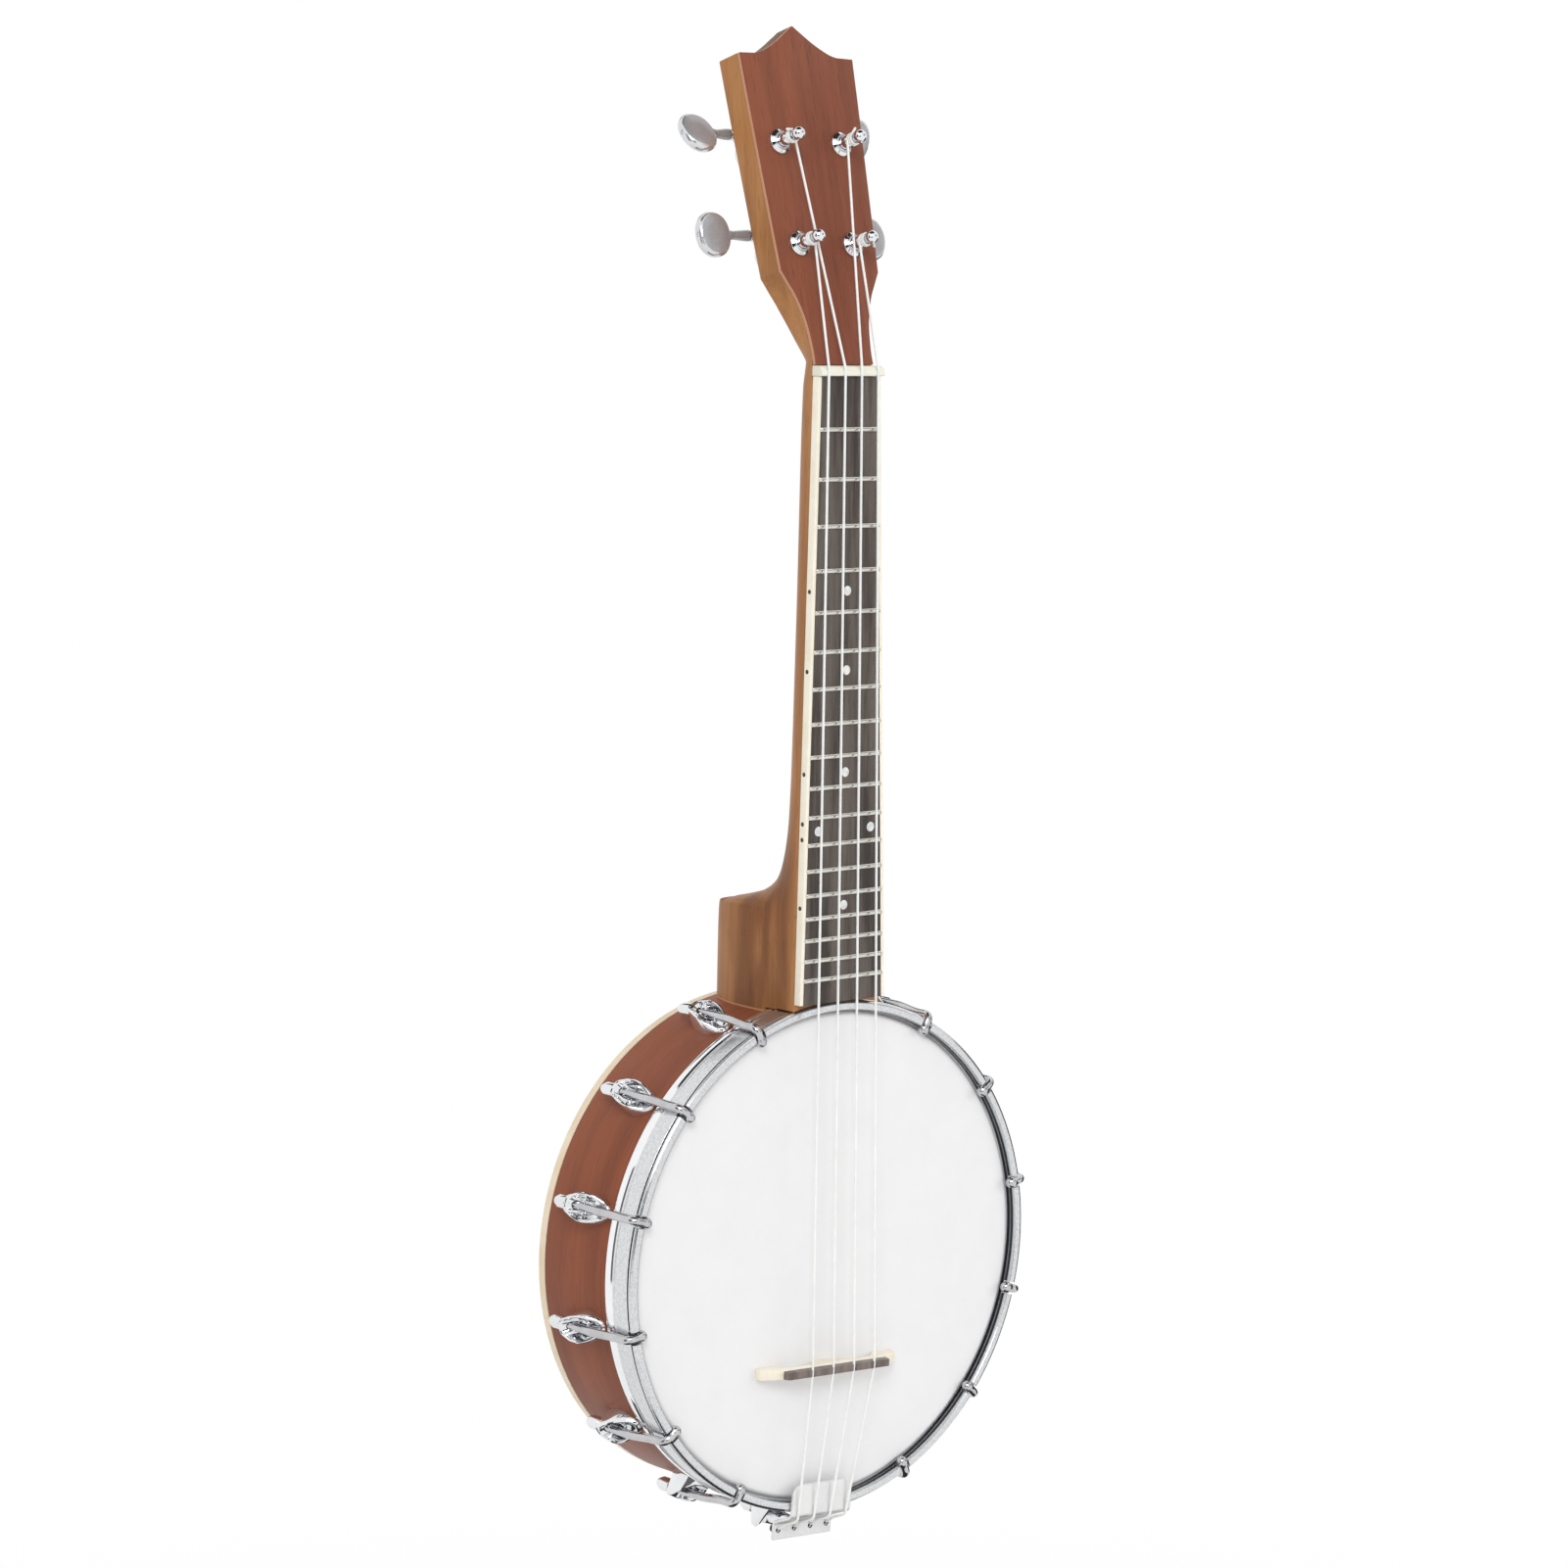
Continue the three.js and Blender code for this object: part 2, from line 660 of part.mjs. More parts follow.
function headstockSlab(from, to, trim) {
  const points = headRunShares.map((share, k) => [
    headHalfWidth * headWidthShares[k],
    Math.max(headLength * share, trim),
  ]);
  const slab = slabThrough(mirroredOutline(points), from, to);
  const position = slab.attributes.position;
  for (let k = 0; k < position.count; k += 1) {
    const blend = Math.min(position.getZ(k) / headBlendRun, 1);
    const narrowing = THREE.MathUtils.lerp(headBackShareAtNut, 1, blend);
    const backShare = position.getY(k) / headThickness;
    position.setX(k, position.getX(k) * THREE.MathUtils.lerp(1, narrowing, backShare));
  }
  return slab;
}

// The four machines, each with its side, its place and the turns of string on its post
function postPlaces() {
  return [
    { side: -1, x: -lowerPostX, run: lowerPostRun, turns: 2 },
    { side: -1, x: -upperPostX, run: upperPostRun, turns: 2.25 },
    { side: 1, x: upperPostX, run: upperPostRun, turns: 2.1 },
    { side: 1, x: lowerPostX, run: lowerPostRun, turns: 2.5 },
  ];
}

function postHoles(from, to) {
  return postPlaces().map(({ x, run }) => {
    const hole = barAlongY(bushingSleeveRadius + seatGap, from, to, 10);
    return hole.translate(x, 0, run);
  });
}

// Cutters for the pot's outside, a seat gap larger than the rings that they clear
function potCutter(radius, from, to) {
  const cutter = potRing([[0, from], [radius, from], [radius, to], [0, to]]);
  return cutter.rotateY(potTurn);
}

function makeNeck() {
  const slab = headstockSlab(slabFront, headThickness, 0).applyMatrix4(headstock.matrix);
  const faceCut = boxBetween(
    [-headHalfWidth, -headThickness - cutOver, 0],
    [headHalfWidth, slabFront, headLength + cutOver],
  ).applyMatrix4(headstock.matrix);
  const holes = postHoles(-cutOver, headThickness + cutOver).map((hole) => hole.applyMatrix4(headstock.matrix));
  const rodBore = barAlongZ(rodRadius + seatGap, 0, rimOuterRadius + rodIntoHeel + seatGap, 8);
  rodBore.translate(0, rodDepth, 0);
  return cutFrom(joined([makeNeckShaft(), slab]), [
    faceCut,
    ...holes,
    rodBore,
    potCutter(hoopOuterRadius + seatGap, hoopFront - cutOver, hoopBack + seatGap),
    potCutter(beadOuterRadius + seatGap, beadFront, beadBack + seatGap),
    potCutter(rimOuterRadius + seatGap, beadBack, backFace + cutOver),
  ]);
}

function makeVeneer() {
  return cutFrom(headstockSlab(0, veneerThickness, seatGap), postHoles(-cutOver, veneerThickness + cutOver));
}

// Fretboard with its fret wires
function makeFretboard() {
  const inset = boardBindingWidth + seatGap;
  const board = slabThrough(mirroredOutline([
    [boardWidthAtEnd / 2 - inset, boardEnd],
    [boardWidthAtNut / 2 - inset, nutAbovePot],
  ]), 0, boardThickness);
  const wires = Array.from({ length: fretCount }, (_, k) => {
    const z = nutAbovePot - nutToFret(k + 1);
    const half = boardHalfWidth(z) - inset - seatGap;
    const wire = new THREE.ExtrudeGeometry(outline([
      [-fretWidth / 2, fretHeight],
      [-fretWidth / 2, 0],
      [-fretCrownWidth / 2, -fretHeight],
      [fretCrownWidth / 2, -fretHeight],
      [fretWidth / 2, 0],
      [fretWidth / 2, fretHeight],
    ].reverse()), { depth: 2 * half, bevelEnabled: false });
    wire.rotateY(Math.PI / 2);
    return wire.translate(-half, 0, z);
  });
  return joined([board, ...wires]);
}

// Cream strip on one side of the fretboard
function makeBoardBinding(side) {
  const corners = [
    [side * (boardWidthAtEnd / 2 - boardBindingWidth), boardEnd],
    [side * (boardWidthAtEnd / 2), boardEnd],
    [side * (boardWidthAtNut / 2), nutAbovePot],
    [side * (boardWidthAtNut / 2 - boardBindingWidth), nutAbovePot],
  ];
  return slabThrough(outline(side > 0 ? corners : corners.reverse()), 0, boardThickness);
}

// Nut with a rounded front and a slot under each string
function makeNut() {
  const half = boardWidthAtNut / 2 + nutOverhang;
  const front = boardThickness - nutHeight;
  const low = nutAbovePot + seatGap;
  const high = low + nutThickness;
  const bar = new THREE.ExtrudeGeometry(outline([
    [-low, boardThickness],
    [-low, front + nutCrown / 2],
    [-low - nutCrown, front],
    [-high + nutCrown, front],
    [-high, front + nutCrown],
    [-high, boardThickness],
  ].reverse()), { depth: 2 * half, bevelEnabled: false });
  bar.rotateY(Math.PI / 2);
  bar.translate(-half, 0, 0);
  const slotFloor = -stringHeightAtNut + stringRadius + seatGap;
  const slots = stringOffsets(stringSpacingAtNut).map((x) => boxBetween(
    [x - stringSlotWidth / 2, front - cutOver, low - cutOver],
    [x + stringSlotWidth / 2, slotFloor, high + cutOver],
  ));
  return cutFrom(bar, slots);
}

// Floating bridge in the pot's frame: three feet, two arches, thinner at the top
const archRunShares = [0.16, 0.26, 0.44, 0.62, 0.72];

function makeBridge() {
  const foot = filmFront - seatGap;
  const archTop = foot - bridgeFootHeight;
  const halfFoot = bridgeFootLength / 2;
  const archAt = (k) => halfFoot * archRunShares[k];
  const shape = mirroredOutline([
    [archAt(0), foot],
    [archAt(1), archTop],
    [archAt(2), archTop - bridgeFootHeight / 2],
    [archAt(3), archTop],
    [archAt(4), foot],
    [halfFoot, foot],
    [halfFoot, archTop],
    [bridgeTopLength / 2, -bridgeTopHeight],
  ]);
  const block = new THREE.ExtrudeGeometry(shape, { depth: bridgeFootThickness, bevelEnabled: false });
  block.translate(0, 0, -bridgeFootThickness / 2);
  const position = block.attributes.position;
  for (let k = 0; k < position.count; k += 1) {
    const share = (position.getY(k) + bridgeTopHeight) / (foot + bridgeTopHeight);
    const thickness = THREE.MathUtils.lerp(bridgeTopThickness, bridgeFootThickness, share);
    position.setZ(k, (position.getZ(k) * thickness) / bridgeFootThickness);
  }
  block.translate(0, 0, -bridgeBelowPotCentre);
  const slotFloor = -stringHeightAtBridge + stringRadius + seatGap;
  const slots = bridgeStringPoints().map((point) => {
    const x = point.clone().applyAxisAngle(yAxis, -potTurn).x;
    const low = -bridgeBelowPotCentre - bridgeFootThickness;
    const high = -bridgeBelowPotCentre + bridgeFootThickness;
    return boxBetween(
      [x - stringSlotWidth / 2, -bridgeTopHeight - cutOver, low],
      [x + stringSlotWidth / 2, slotFloor, high],
    );
  });
  return cutFrom(block, slots);
}

// Where each string crosses the bridge: straight below the neck, on the turned bridge's line
function bridgeStringPoints() {
  return stringOffsets(stringSpacingAtBridge).map((x) => {
    const along = (x + bridgeBelowPotCentre * Math.sin(potTurn)) / Math.cos(potTurn);
    return new THREE.Vector3(along, -stringHeightAtBridge, -bridgeBelowPotCentre).applyAxisAngle(yAxis, potTurn);
  });
}

// Coordinator rod: from the heel through the pot to the foot of the rim, with its two nuts
function makeCoordinatorRod() {
  const nutTop = rimInnerFlatRadius - seatGap;
  const rod = turnedAboutY([
    [0, -(rimFlatRadius - seatGap)],
    [rodEndRadius, -(rimFlatRadius - seatGap)],
    [rodEndRadius, -nutTop],
    [rodNutRadius, -nutTop],
    [rodNutRadius, -(nutTop - rodNutHeight)],
    [rodRadius, -(nutTop - rodNutHeight)],
    [rodRadius, nutTop - rodNutHeight],
    [rodNutRadius, nutTop - rodNutHeight],
    [rodNutRadius, nutTop],
    [rodRadius, nutTop],
    [rodRadius, rimOuterRadius + rodIntoHeel],
    [0, rimOuterRadius + rodIntoHeel],
  ], 8);
  rod.rotateX(Math.PI / 2);
  return rod.translate(0, rodDepth, 0);
}

// String route: a few turns on its post, over nut and bridge, down through the tail flange
function makeString(number) {
  const { x, run, side, turns } = postPlaces()[number];
  const nutX = stringOffsets(stringSpacingAtNut)[number];
  const nutHigh = new THREE.Vector3(nutX, -stringHeightAtNut, nutAbovePot + seatGap + nutThickness - nutCrown);
  const nutLow = new THREE.Vector3(nutX, -stringHeightAtNut, nutAbovePot + seatGap + nutCrown);
  const slot = nutHigh.clone().applyMatrix4(headstock.matrix.clone().invert());
  const reach = new THREE.Vector2(slot.x - x, slot.z - run);
  const leave = reach.angle() - side * Math.acos(windingRadius / reach.length());
  const steps = Math.round(turns * stepsPerTurn);
  const winding = [];
  for (let step = 0; step <= steps; step += 1) {
    const turn = (2 * Math.PI * (step - steps)) / stepsPerTurn;
    const angle = leave + side * turn;
    const lift = windingExit + (windingPitch * (steps - step)) / stepsPerTurn;
    winding.push(new THREE.Vector3(x + windingRadius * Math.cos(angle), -lift, run + windingRadius * Math.sin(angle)));
  }
  const startRun = winding[0].clone().sub(winding[1]).setLength(stringTail).add(winding[0]);
  const onHeadstock = [startRun, ...winding].map((point) => point.applyMatrix4(headstock.matrix));
  const overBridge = bridgeStringPoints()[number];
  const tailX = stringOffsets(stringSpacingAtTail)[number];
  const clear = seatGap + stringRadius;
  const plateFront = hoopFront - seatGap - sheetThickness;
  const bendOuter = hoopOuterRadius + seatGap + sheetThickness;
  const holeRadius = flangeTopRadius() + tailHoleBelowBend;
  const flangeBack = hoopFront + tailFlangeSetBack;
  const tail = [
    [plateFront - clear, hoopOuterRadius - sheetThickness],
    [plateFront - clear / 2, bendOuter],
    [plateFront + sheetThickness, bendOuter + 2 * clear],
    [flangeBack - tailFlangeSetBack / 2, (bendOuter + holeRadius) / 2 + clear],
    [flangeBack - 2 * sheetThickness - clear, holeRadius],
    [flangeBack + stringPastFlange, holeRadius],
  ].map(([depth, radius]) => new THREE.Vector3(tailX, depth, -radius).applyAxisAngle(yAxis, potTurn));
  const route = [...onHeadstock, nutHigh, nutLow, overBridge, ...tail];
  printLeastGap(number, onHeadstock);
  return tubeThrough(route, stringRadius, stringSides);
}

// Least free space between neighbouring turns of a winding, measured on its points
function printLeastGap(number, points) {
  let least = Infinity;
  const apart = stepsPerTurn / 2;
  for (let a = 0; a < points.length; a += 1) {
    for (let b = a + apart; b < points.length; b += 1) {
      least = Math.min(least, points[a].distanceTo(points[b]) - 2 * stringRadius);
    }
  }
  console.log(`string ${number + 1}: least gap to itself ${least.toFixed(2)} mm`);
}

// Bushing pressed in the headstock's face round a post
function makeBushing() {
  const bore = postRadius + seatGap;
  const flangeFront = -seatGap - bushingFlangeHeight;
  return turnedAboutY([
    [bore, flangeFront - bushingCollarHeight],
    [bushingCollarRadius, flangeFront - bushingCollarHeight],
    [bushingCollarRadius, flangeFront],
    [bushingFlangeRadius, flangeFront],
    [bushingFlangeRadius, -seatGap],
    [bushingSleeveRadius, -seatGap],
    [bushingSleeveRadius, bushingSleeveLength],
    [bore, bushingSleeveLength],
  ], 10);
}

// String post with the worm wheel on its hidden end
function makePost() {
  const end = headThickness + seatGap + housingDepth - housingWall - seatGap;
  const post = turnedAboutY([
    [0, -postHeight],
    [postRadius - postTipChamfer, -postHeight],
    [postRadius, -postHeight + postTipChamfer],
    [postRadius, end],
    [0, end],
  ], 10);
  const teeth = Array.from({ length: 2 * wormWheelTeeth }, (_, k) => {
    const radius = k % 2 === 0 ? wormWheelRadius : wormWheelRadius - wormWheelToothDepth;
    const angle = (Math.PI * k) / wormWheelTeeth;
    return [radius * Math.cos(angle), radius * Math.sin(angle)];
  });
  const half = wormWheelWidth / 2;
  const wheel = slabThrough(outline(teeth), keyAxisBehindFace - half, keyAxisBehindFace + half);
  return joined([post, wheel]);
}

// Tuning key along x: knob, collar and shaft, with the worm on its inner end
function makeKey(postX, side, knobTurn) {
  const inner = postX - housingHalfWidth + housingWall + seatGap;
  const shaft = barAlongX(keyShaftRadius, inner, keyKnobCentre, 8);
  const knobFoot = keyKnobCentre - keyKnobRadius * keyKnobLengthShare;
  const collar = barAlongX(keyCollarRadius, knobFoot - keyCollarLength / 2, knobFoot + keyCollarLength / 2, 8);
  const steps = 5 * wormTurns;
  const loops = Array.from({ length: steps + 1 }, (_, step) => {
    const turn = (2 * Math.PI * step * wormTurns) / steps;
    const x = postX - wormHalfLength + (2 * wormHalfLength * step) / steps;
    return Array.from({ length: 6 }, (_, k) => {
      const angle = (Math.PI * k) / 3;
      const y = wormThrow * Math.cos(turn) + wormRadius * Math.cos(angle);
      const z = wormThrow * Math.sin(turn) + wormRadius * Math.sin(angle);
      return new THREE.Vector3(x, y, z);
    });
  });
  const knob = turnedAboutY([
    [0, -keyKnobThickness / 2],
    [keyKnobRadius - keyKnobEdge, -keyKnobThickness / 2],
    [keyKnobRadius, -keyKnobThickness / 2 + keyKnobEdge],
    [keyKnobRadius, keyKnobThickness / 2 - keyKnobEdge],
    [keyKnobRadius - keyKnobEdge, keyKnobThickness / 2],
    [0, keyKnobThickness / 2],
  ], 12);
  knob.scale(keyKnobLengthShare, 1, 1);
  knob.translate(keyKnobCentre, 0, 0);
  knob.rotateX(knobTurn);
  const key = joined([shaft, collar, skinOver(loops), knob]);
  return side > 0 ? key : key.rotateY(Math.PI);
}

// Housing in its post's frame, open to the headstock's back, with a hole for the key's shaft
function makeHousing(side) {
  const low = [-housingHalfWidth, headThickness + seatGap, -housingBelowPost];
  const high = [housingHalfWidth, low[1] + housingDepth, keyRunPastPost + housingAboveKey];
  const shell = boxBetween(low, high);
  const cavity = boxBetween(
    [low[0] + housingWall, low[1] - cutOver, low[2] + housingWall],
    [high[0] - housingWall, high[1] - housingWall, high[2] - housingWall],
  );
  const hole = barAlongX(keyShaftRadius + seatGap, housingHalfWidth - housingWall - cutOver, housingHalfWidth + cutOver, 8);
  hole.translate(0, keyAxisBehindFace, keyRunPastPost);
  if (side < 0) hole.rotateY(Math.PI).translate(0, 0, 2 * keyRunPastPost);
  return cutFrom(shell, [cavity, hole]);
}

function padded(number) {
  return String(number).padStart(2, '0');
}

place('rim', makeRim(), darkWood(), pot);
place('tone_ring', makeToneRing(), chrome(), pot);
place('drum_head', makeDrumHead(), whiteFilm(), pot);
place('tension_hoop', makeTensionHoop(), chrome(), pot);
place('back_binding', makeBackBinding(), creamPlastic(), pot);
place('back_panel', makeBackPanel(), darkWood(), pot);
place('tailpiece', makeTailpiece(), chrome(), pot);
place('bridge', makeBridge(), bridgeWood(), pot);

let hookNumber = 0;
for (let station = 1; station < stationCount; station += 1) {
  const group = stationGroup(station);
  if (2 * station === stationCount) {
    place('tail_bracket', makeTailBracket(), chrome(), group);
  } else {
    hookNumber += 1;
    place(`tension_hook_${padded(hookNumber)}`, makeHook(), chrome(), group);
    place(`hook_shoe_${padded(hookNumber)}`, makeShoe(), chrome(), group);
  }
}

place('neck', makeNeck(), lightWood(), model);
place('coordinator_rod', makeCoordinatorRod(), steel(), model);
place('fretboard', makeFretboard(), boardWood(), model);
place('board_binding_left', makeBoardBinding(-1), creamPlastic(), model);
place('board_binding_right', makeBoardBinding(1), creamPlastic(), model);
place('nut', makeNut(), creamPlastic(), model);
place('headstock_veneer', makeVeneer(), veneerWood(), headstock);

const knobTurns = [0, 0.62, 0.3, 0];
postPlaces().forEach(({ side, x, run }, k) => {
  const number = k + 1;
  place(`string_post_${number}`, makePost(), chrome(), headstock).position.set(x, 0, run);
  place(`post_bushing_${number}`, makeBushing(), chrome(), headstock).position.set(x, 0, run);
  place(`tuner_housing_${number}`, makeHousing(side), chrome(), headstock).position.set(x, 0, run);
  const key = place(`tuner_key_${number}`, makeKey(Math.abs(x), side, knobTurns[k]), chrome(), headstock);
  key.position.set(0, keyAxisBehindFace, run + keyRunPastPost);
  place(`string_${number}`, makeString(k), whiteNylon(), model);
});

model.position.y = -backFace;
const banjoUkulele = new THREE.Group();
banjoUkulele.add(model);
banjoUkulele.updateMatrixWorld(true);

export default banjoUkulele;
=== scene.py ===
import math

import bmesh
import bpy
from mathutils import Matrix, Vector


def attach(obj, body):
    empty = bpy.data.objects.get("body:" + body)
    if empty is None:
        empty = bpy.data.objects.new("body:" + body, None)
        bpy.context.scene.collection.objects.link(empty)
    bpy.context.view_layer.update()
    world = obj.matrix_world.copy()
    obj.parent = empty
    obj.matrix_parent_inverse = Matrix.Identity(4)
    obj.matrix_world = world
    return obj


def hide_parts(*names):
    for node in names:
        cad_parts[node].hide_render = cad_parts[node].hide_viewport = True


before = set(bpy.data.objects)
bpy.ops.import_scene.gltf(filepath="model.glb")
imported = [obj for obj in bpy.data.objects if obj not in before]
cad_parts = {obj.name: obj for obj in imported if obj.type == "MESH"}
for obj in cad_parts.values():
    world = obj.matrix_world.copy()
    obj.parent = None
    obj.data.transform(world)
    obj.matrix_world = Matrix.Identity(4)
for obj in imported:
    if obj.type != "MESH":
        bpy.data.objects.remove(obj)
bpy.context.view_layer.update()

# Banjo ukulele. Pieces are modelled in millimetres, x to the right, y to the back, z up the neck,
# with the pot's centre and the fretboard's face at zero, and then set down in the frame's metres.
layout = {
    "backFace": 67.3,           # depth of the pot's back
    "potTurn": 2.7,             # the pot sits a little turned on its neck, in degrees
    "tailTurn": 1.0,            # the tail end sits a little further round, in degrees
    "stations": 14,             # places round the pot: heel, twelve hooks and tail
    "ringSides": 168,
    "strings": 4,
    "headTilt": 14.5,
    "headDrop": 3.4,
    "headStart": 368.15,
    "boardEnd": 107.9,
    "nutAbovePot": 363.65,
    "scaleLength": 380.0,
}


def shift(x, y, z):
    return Matrix.Translation((x, y, z))


def spin(angle, axis):
    return Matrix.Rotation(angle, 4, axis)


modelPlace = Matrix.Scale(0.001, 4) @ shift(0, -layout["backFace"], 0)
potTurned = spin(math.radians(layout["potTurn"]), "Y")
tailTurned = potTurned @ spin(math.radians(layout["tailTurn"]), "Y")
potPlace = modelPlace @ potTurned
headLocal = shift(0, layout["headDrop"], layout["headStart"]) @ spin(math.radians(-layout["headTilt"]), "X")
headPlace = modelPlace @ headLocal
tailStation = layout["stations"] // 2


def stationTurn(number):
    extra = layout["tailTurn"] if number == tailStation else 0
    return spin(2 * math.pi * number / layout["stations"] + math.radians(extra), "Y")


# Where a string lies across the neck, for the distance from string to string
def stringX(number, spacing):
    return (number - (layout["strings"] - 1) / 2) * spacing


def lerp(a, b, t):
    return a + (b - a) * t


def ease(t):
    t = min(max(t, 0.0), 1.0)
    return t * t * (3 - 2 * t)


# Curve through a table of places, without corners; also used for single values
def curveThrough(points, steps):
    made = []
    for k in range(len(points) - 1):
        p0, p1 = points[max(k - 1, 0)], points[k]
        p2, p3 = points[k + 1], points[min(k + 2, len(points) - 1)]
        for s in range(steps):
            t = s / steps
            made.append(0.5 * ((2 * p1) + (p2 - p0) * t + (2 * p0 - 5 * p1 + 4 * p2 - p3) * t * t
                               + (3 * p1 - p0 - 3 * p2 + p3) * t ** 3))
    made.append(points[-1])
    return made


# Value at a place along a table of (place, value) rows
def valueAt(table, place):
    if place <= table[0][0]:
        return table[0][1]
    for (a, va), (b, vb) in zip(table, table[1:]):
        if place <= b:
            return lerp(va, vb, (place - a) / (b - a))
    return table[-1][1]


# Polyline with its corners rounded
def rounded(points, radius, steps=4, closed=False):
    points = [Vector(p) for p in points]
    made = []
    for k, corner in enumerate(points):
        if not closed and k in (0, len(points) - 1):
            made.append(corner)
            continue
        size = radius[k] if isinstance(radius, (list, tuple)) else radius
        before, after = points[k - 1] - corner, points[(k + 1) % len(points)] - corner
        reach = min(size, before.length * 0.46, after.length * 0.46)
        if reach < 1e-4:
            made.append(corner)
            continue
        start, end = corner + before.normalized() * reach, corner + after.normalized() * reach
        for s in range(steps + 1):
            t = s / steps
            made.append(start * (1 - t) ** 2 + corner * (2 * t * (1 - t)) + end * t * t)
    return made


# Shapes are pairs of lists, points and faces
def joinShapes(*shapes):
    points, faces = [], []
    for shapePoints, shapeFaces in shapes:
        base = len(points)
        points += [Vector(p) for p in shapePoints]
        faces += [[base + k for k in face] for face in shapeFaces]
    return points, faces


def moved(shape, matrix):
    return [matrix @ Vector(p) for p in shape[0]], shape[1]


def shifted(shape, x, y, z):
    return moved(shape, shift(x, y, z))


# Skin over loops of equal length, closed at both ends
def skin(loops, caps=True):
    count = len(loops[0])
    points = [p for loop in loops for p in loop]
    faces = []
    for ring in range(len(loops) - 1):
        for k in range(count):
            a, b = ring * count + k, ring * count + (k + 1) % count
            faces.append([a, b, b + count, a + count])
    if caps:
        faces += [list(range(count)), list(range((len(loops) - 1) * count, len(loops) * count))]
    return points, faces


# Round piece about the y axis from radius and depth pairs; off the axis the profile closes
def turned(profile, segments=96):
    points, faces, rings = [], [], []
    for radius, depth in profile:
        if radius < 1e-6:
            rings.append([len(points)] * segments)
            points.append(Vector((0, depth, 0)))
            continue
        rings.append(list(range(len(points), len(points) + segments)))
        for k in range(segments):
            angle = 2 * math.pi * k / segments
            points.append(Vector((radius * math.sin(angle), depth, radius * math.cos(angle))))
    pairs = list(zip(rings, rings[1:]))
    if profile[0][0] > 1e-6:
        pairs.append((rings[-1], rings[0]))
    for a, b in pairs:
        for k in range(segments):
            n = (k + 1) % segments
            face = list(dict.fromkeys((a[k], a[n], b[n], b[k])))
            if len(face) > 2:
                faces.append(face)
    return points, faces


def profileOf(points, radius, steps=4, closed=True):
    return [(p[0], p[1]) for p in rounded([(a, b, 0) for a, b in points], radius, steps, closed)]


# The same with rounded corners; a profile that starts on the axis stays open there
def lathe(points, radius, segments=layout["ringSides"], steps=4):
    return turned(profileOf(points, radius, steps, points[0][0] > 0), segments)


# Outline of one side with its mirror image
def mirrored(side):
    return side + [(-x, y) for x, y in reversed(side)]


# Profile of a bar's round tip, from the axis outwards; way is 1 where the bar lies behind its tip
def domeOf(radius, tip, way, degrees):
    turns = [math.radians(a) for a in degrees]
    return [(radius * math.sin(a), tip + way * radius * (1 - math.cos(a))) for a in turns]


# Round bar through points, its section carried along without twist
def tube(points, radius, sides=16, domes=(False, False)):
    points = [Vector(p) for p in points]
    radii = list(radius) if isinstance(radius, (list, tuple)) else [radius] * len(points)
    for end, wanted in enumerate(domes):
        if not wanted:
            continue
        first, second = (0, 1) if end == 0 else (-1, -2)
        tip, inner, size = points[first], points[second], radii[first]
        away = (tip - inner).normalized()
        for degrees in (25, 50, 70, 84):
            turn = math.radians(degrees)
            place = 0 if end == 0 else len(points)
            points.insert(place, tip + away * size * math.sin(turn))
            radii.insert(place, size * math.cos(turn))
    loops, normal = [], None
    for k, point in enumerate(points):
        along = (points[min(k + 1, len(points) - 1)] - points[max(k - 1, 0)]).normalized()
        if normal is None:
            spare = Vector((0, 1, 0)) if abs(along.y) < 0.7 else Vector((1, 0, 0))
            normal = along.cross(spare).normalized()
        else:
            normal = (normal - along * normal.dot(along)).normalized()
        side = along.cross(normal)
        loops.append([point + (normal * math.cos(2 * math.pi * s / sides)
                               + side * math.sin(2 * math.pi * s / sides)) * radii[k]
                      for s in range(sides)])
    return skin(loops)


# Outline in x and z made a slab from one depth to another
def slab(outline, low, high):
    return skin([[Vector((x, depth, z)) for x, z in outline] for depth in (low, high)])


def block(low, high):
    (x0, y0, z0), (x1, y1, z1) = low, high
    points = [Vector((x, y, z)) for z in (z0, z1) for x, y in ((x0, y0), (x1, y0), (x1, y1), (x0, y1))]
    return points, [[0, 1, 2, 3], [4, 5, 6, 7], [0, 1, 5, 4], [1, 2, 6, 5], [2, 3, 7, 6], [3, 0, 4, 7]]


def rod(radius, low, high, segments=32):
    return turned([(0, low), (radius, low), (radius, high), (0, high)], segments)


def rodAlongZ(radius, low, high, segments):
    return moved(rod(radius, low, high, segments), spin(math.pi / 2, "X"))


def rodAlongX(radius, low, high, segments):
    return moved(rod(radius, low, high, segments), spin(-math.pi / 2, "Z"))


# Objects

def makeObject(name, shape):
    mesh = bpy.data.meshes.new(name)
    mesh.from_pydata([tuple(p) for p in shape[0]], [], shape[1])
    made = bmesh.new()
    made.from_mesh(mesh)
    bmesh.ops.remove_doubles(made, verts=made.verts, dist=1e-5)
    bmesh.ops.dissolve_degenerate(made, edges=made.edges, dist=1e-5)
    bmesh.ops.recalc_face_normals(made, faces=made.faces)
    made.to_mesh(mesh)
    made.free()
    thing = bpy.data.objects.new(name, mesh)
    bpy.context.scene.collection.objects.link(thing)
    return thing


# Modifiers are applied here, so that the piece is a plain mesh afterwards
def applyAll(thing):
    depsgraph = bpy.context.evaluated_depsgraph_get()
    done = bpy.data.meshes.new_from_object(thing.evaluated_get(depsgraph))
    thing.modifiers.clear()
    old = thing.data
    thing.data = done
    bpy.data.meshes.remove(old)


def soften(thing, width, segments=2, angle=35):
    bevel = thing.modifiers.new("edges", "BEVEL")
    bevel.width, bevel.segments = width, segments
    bevel.limit_method, bevel.angle_limit = "ANGLE", math.radians(angle)
    applyAll(thing)


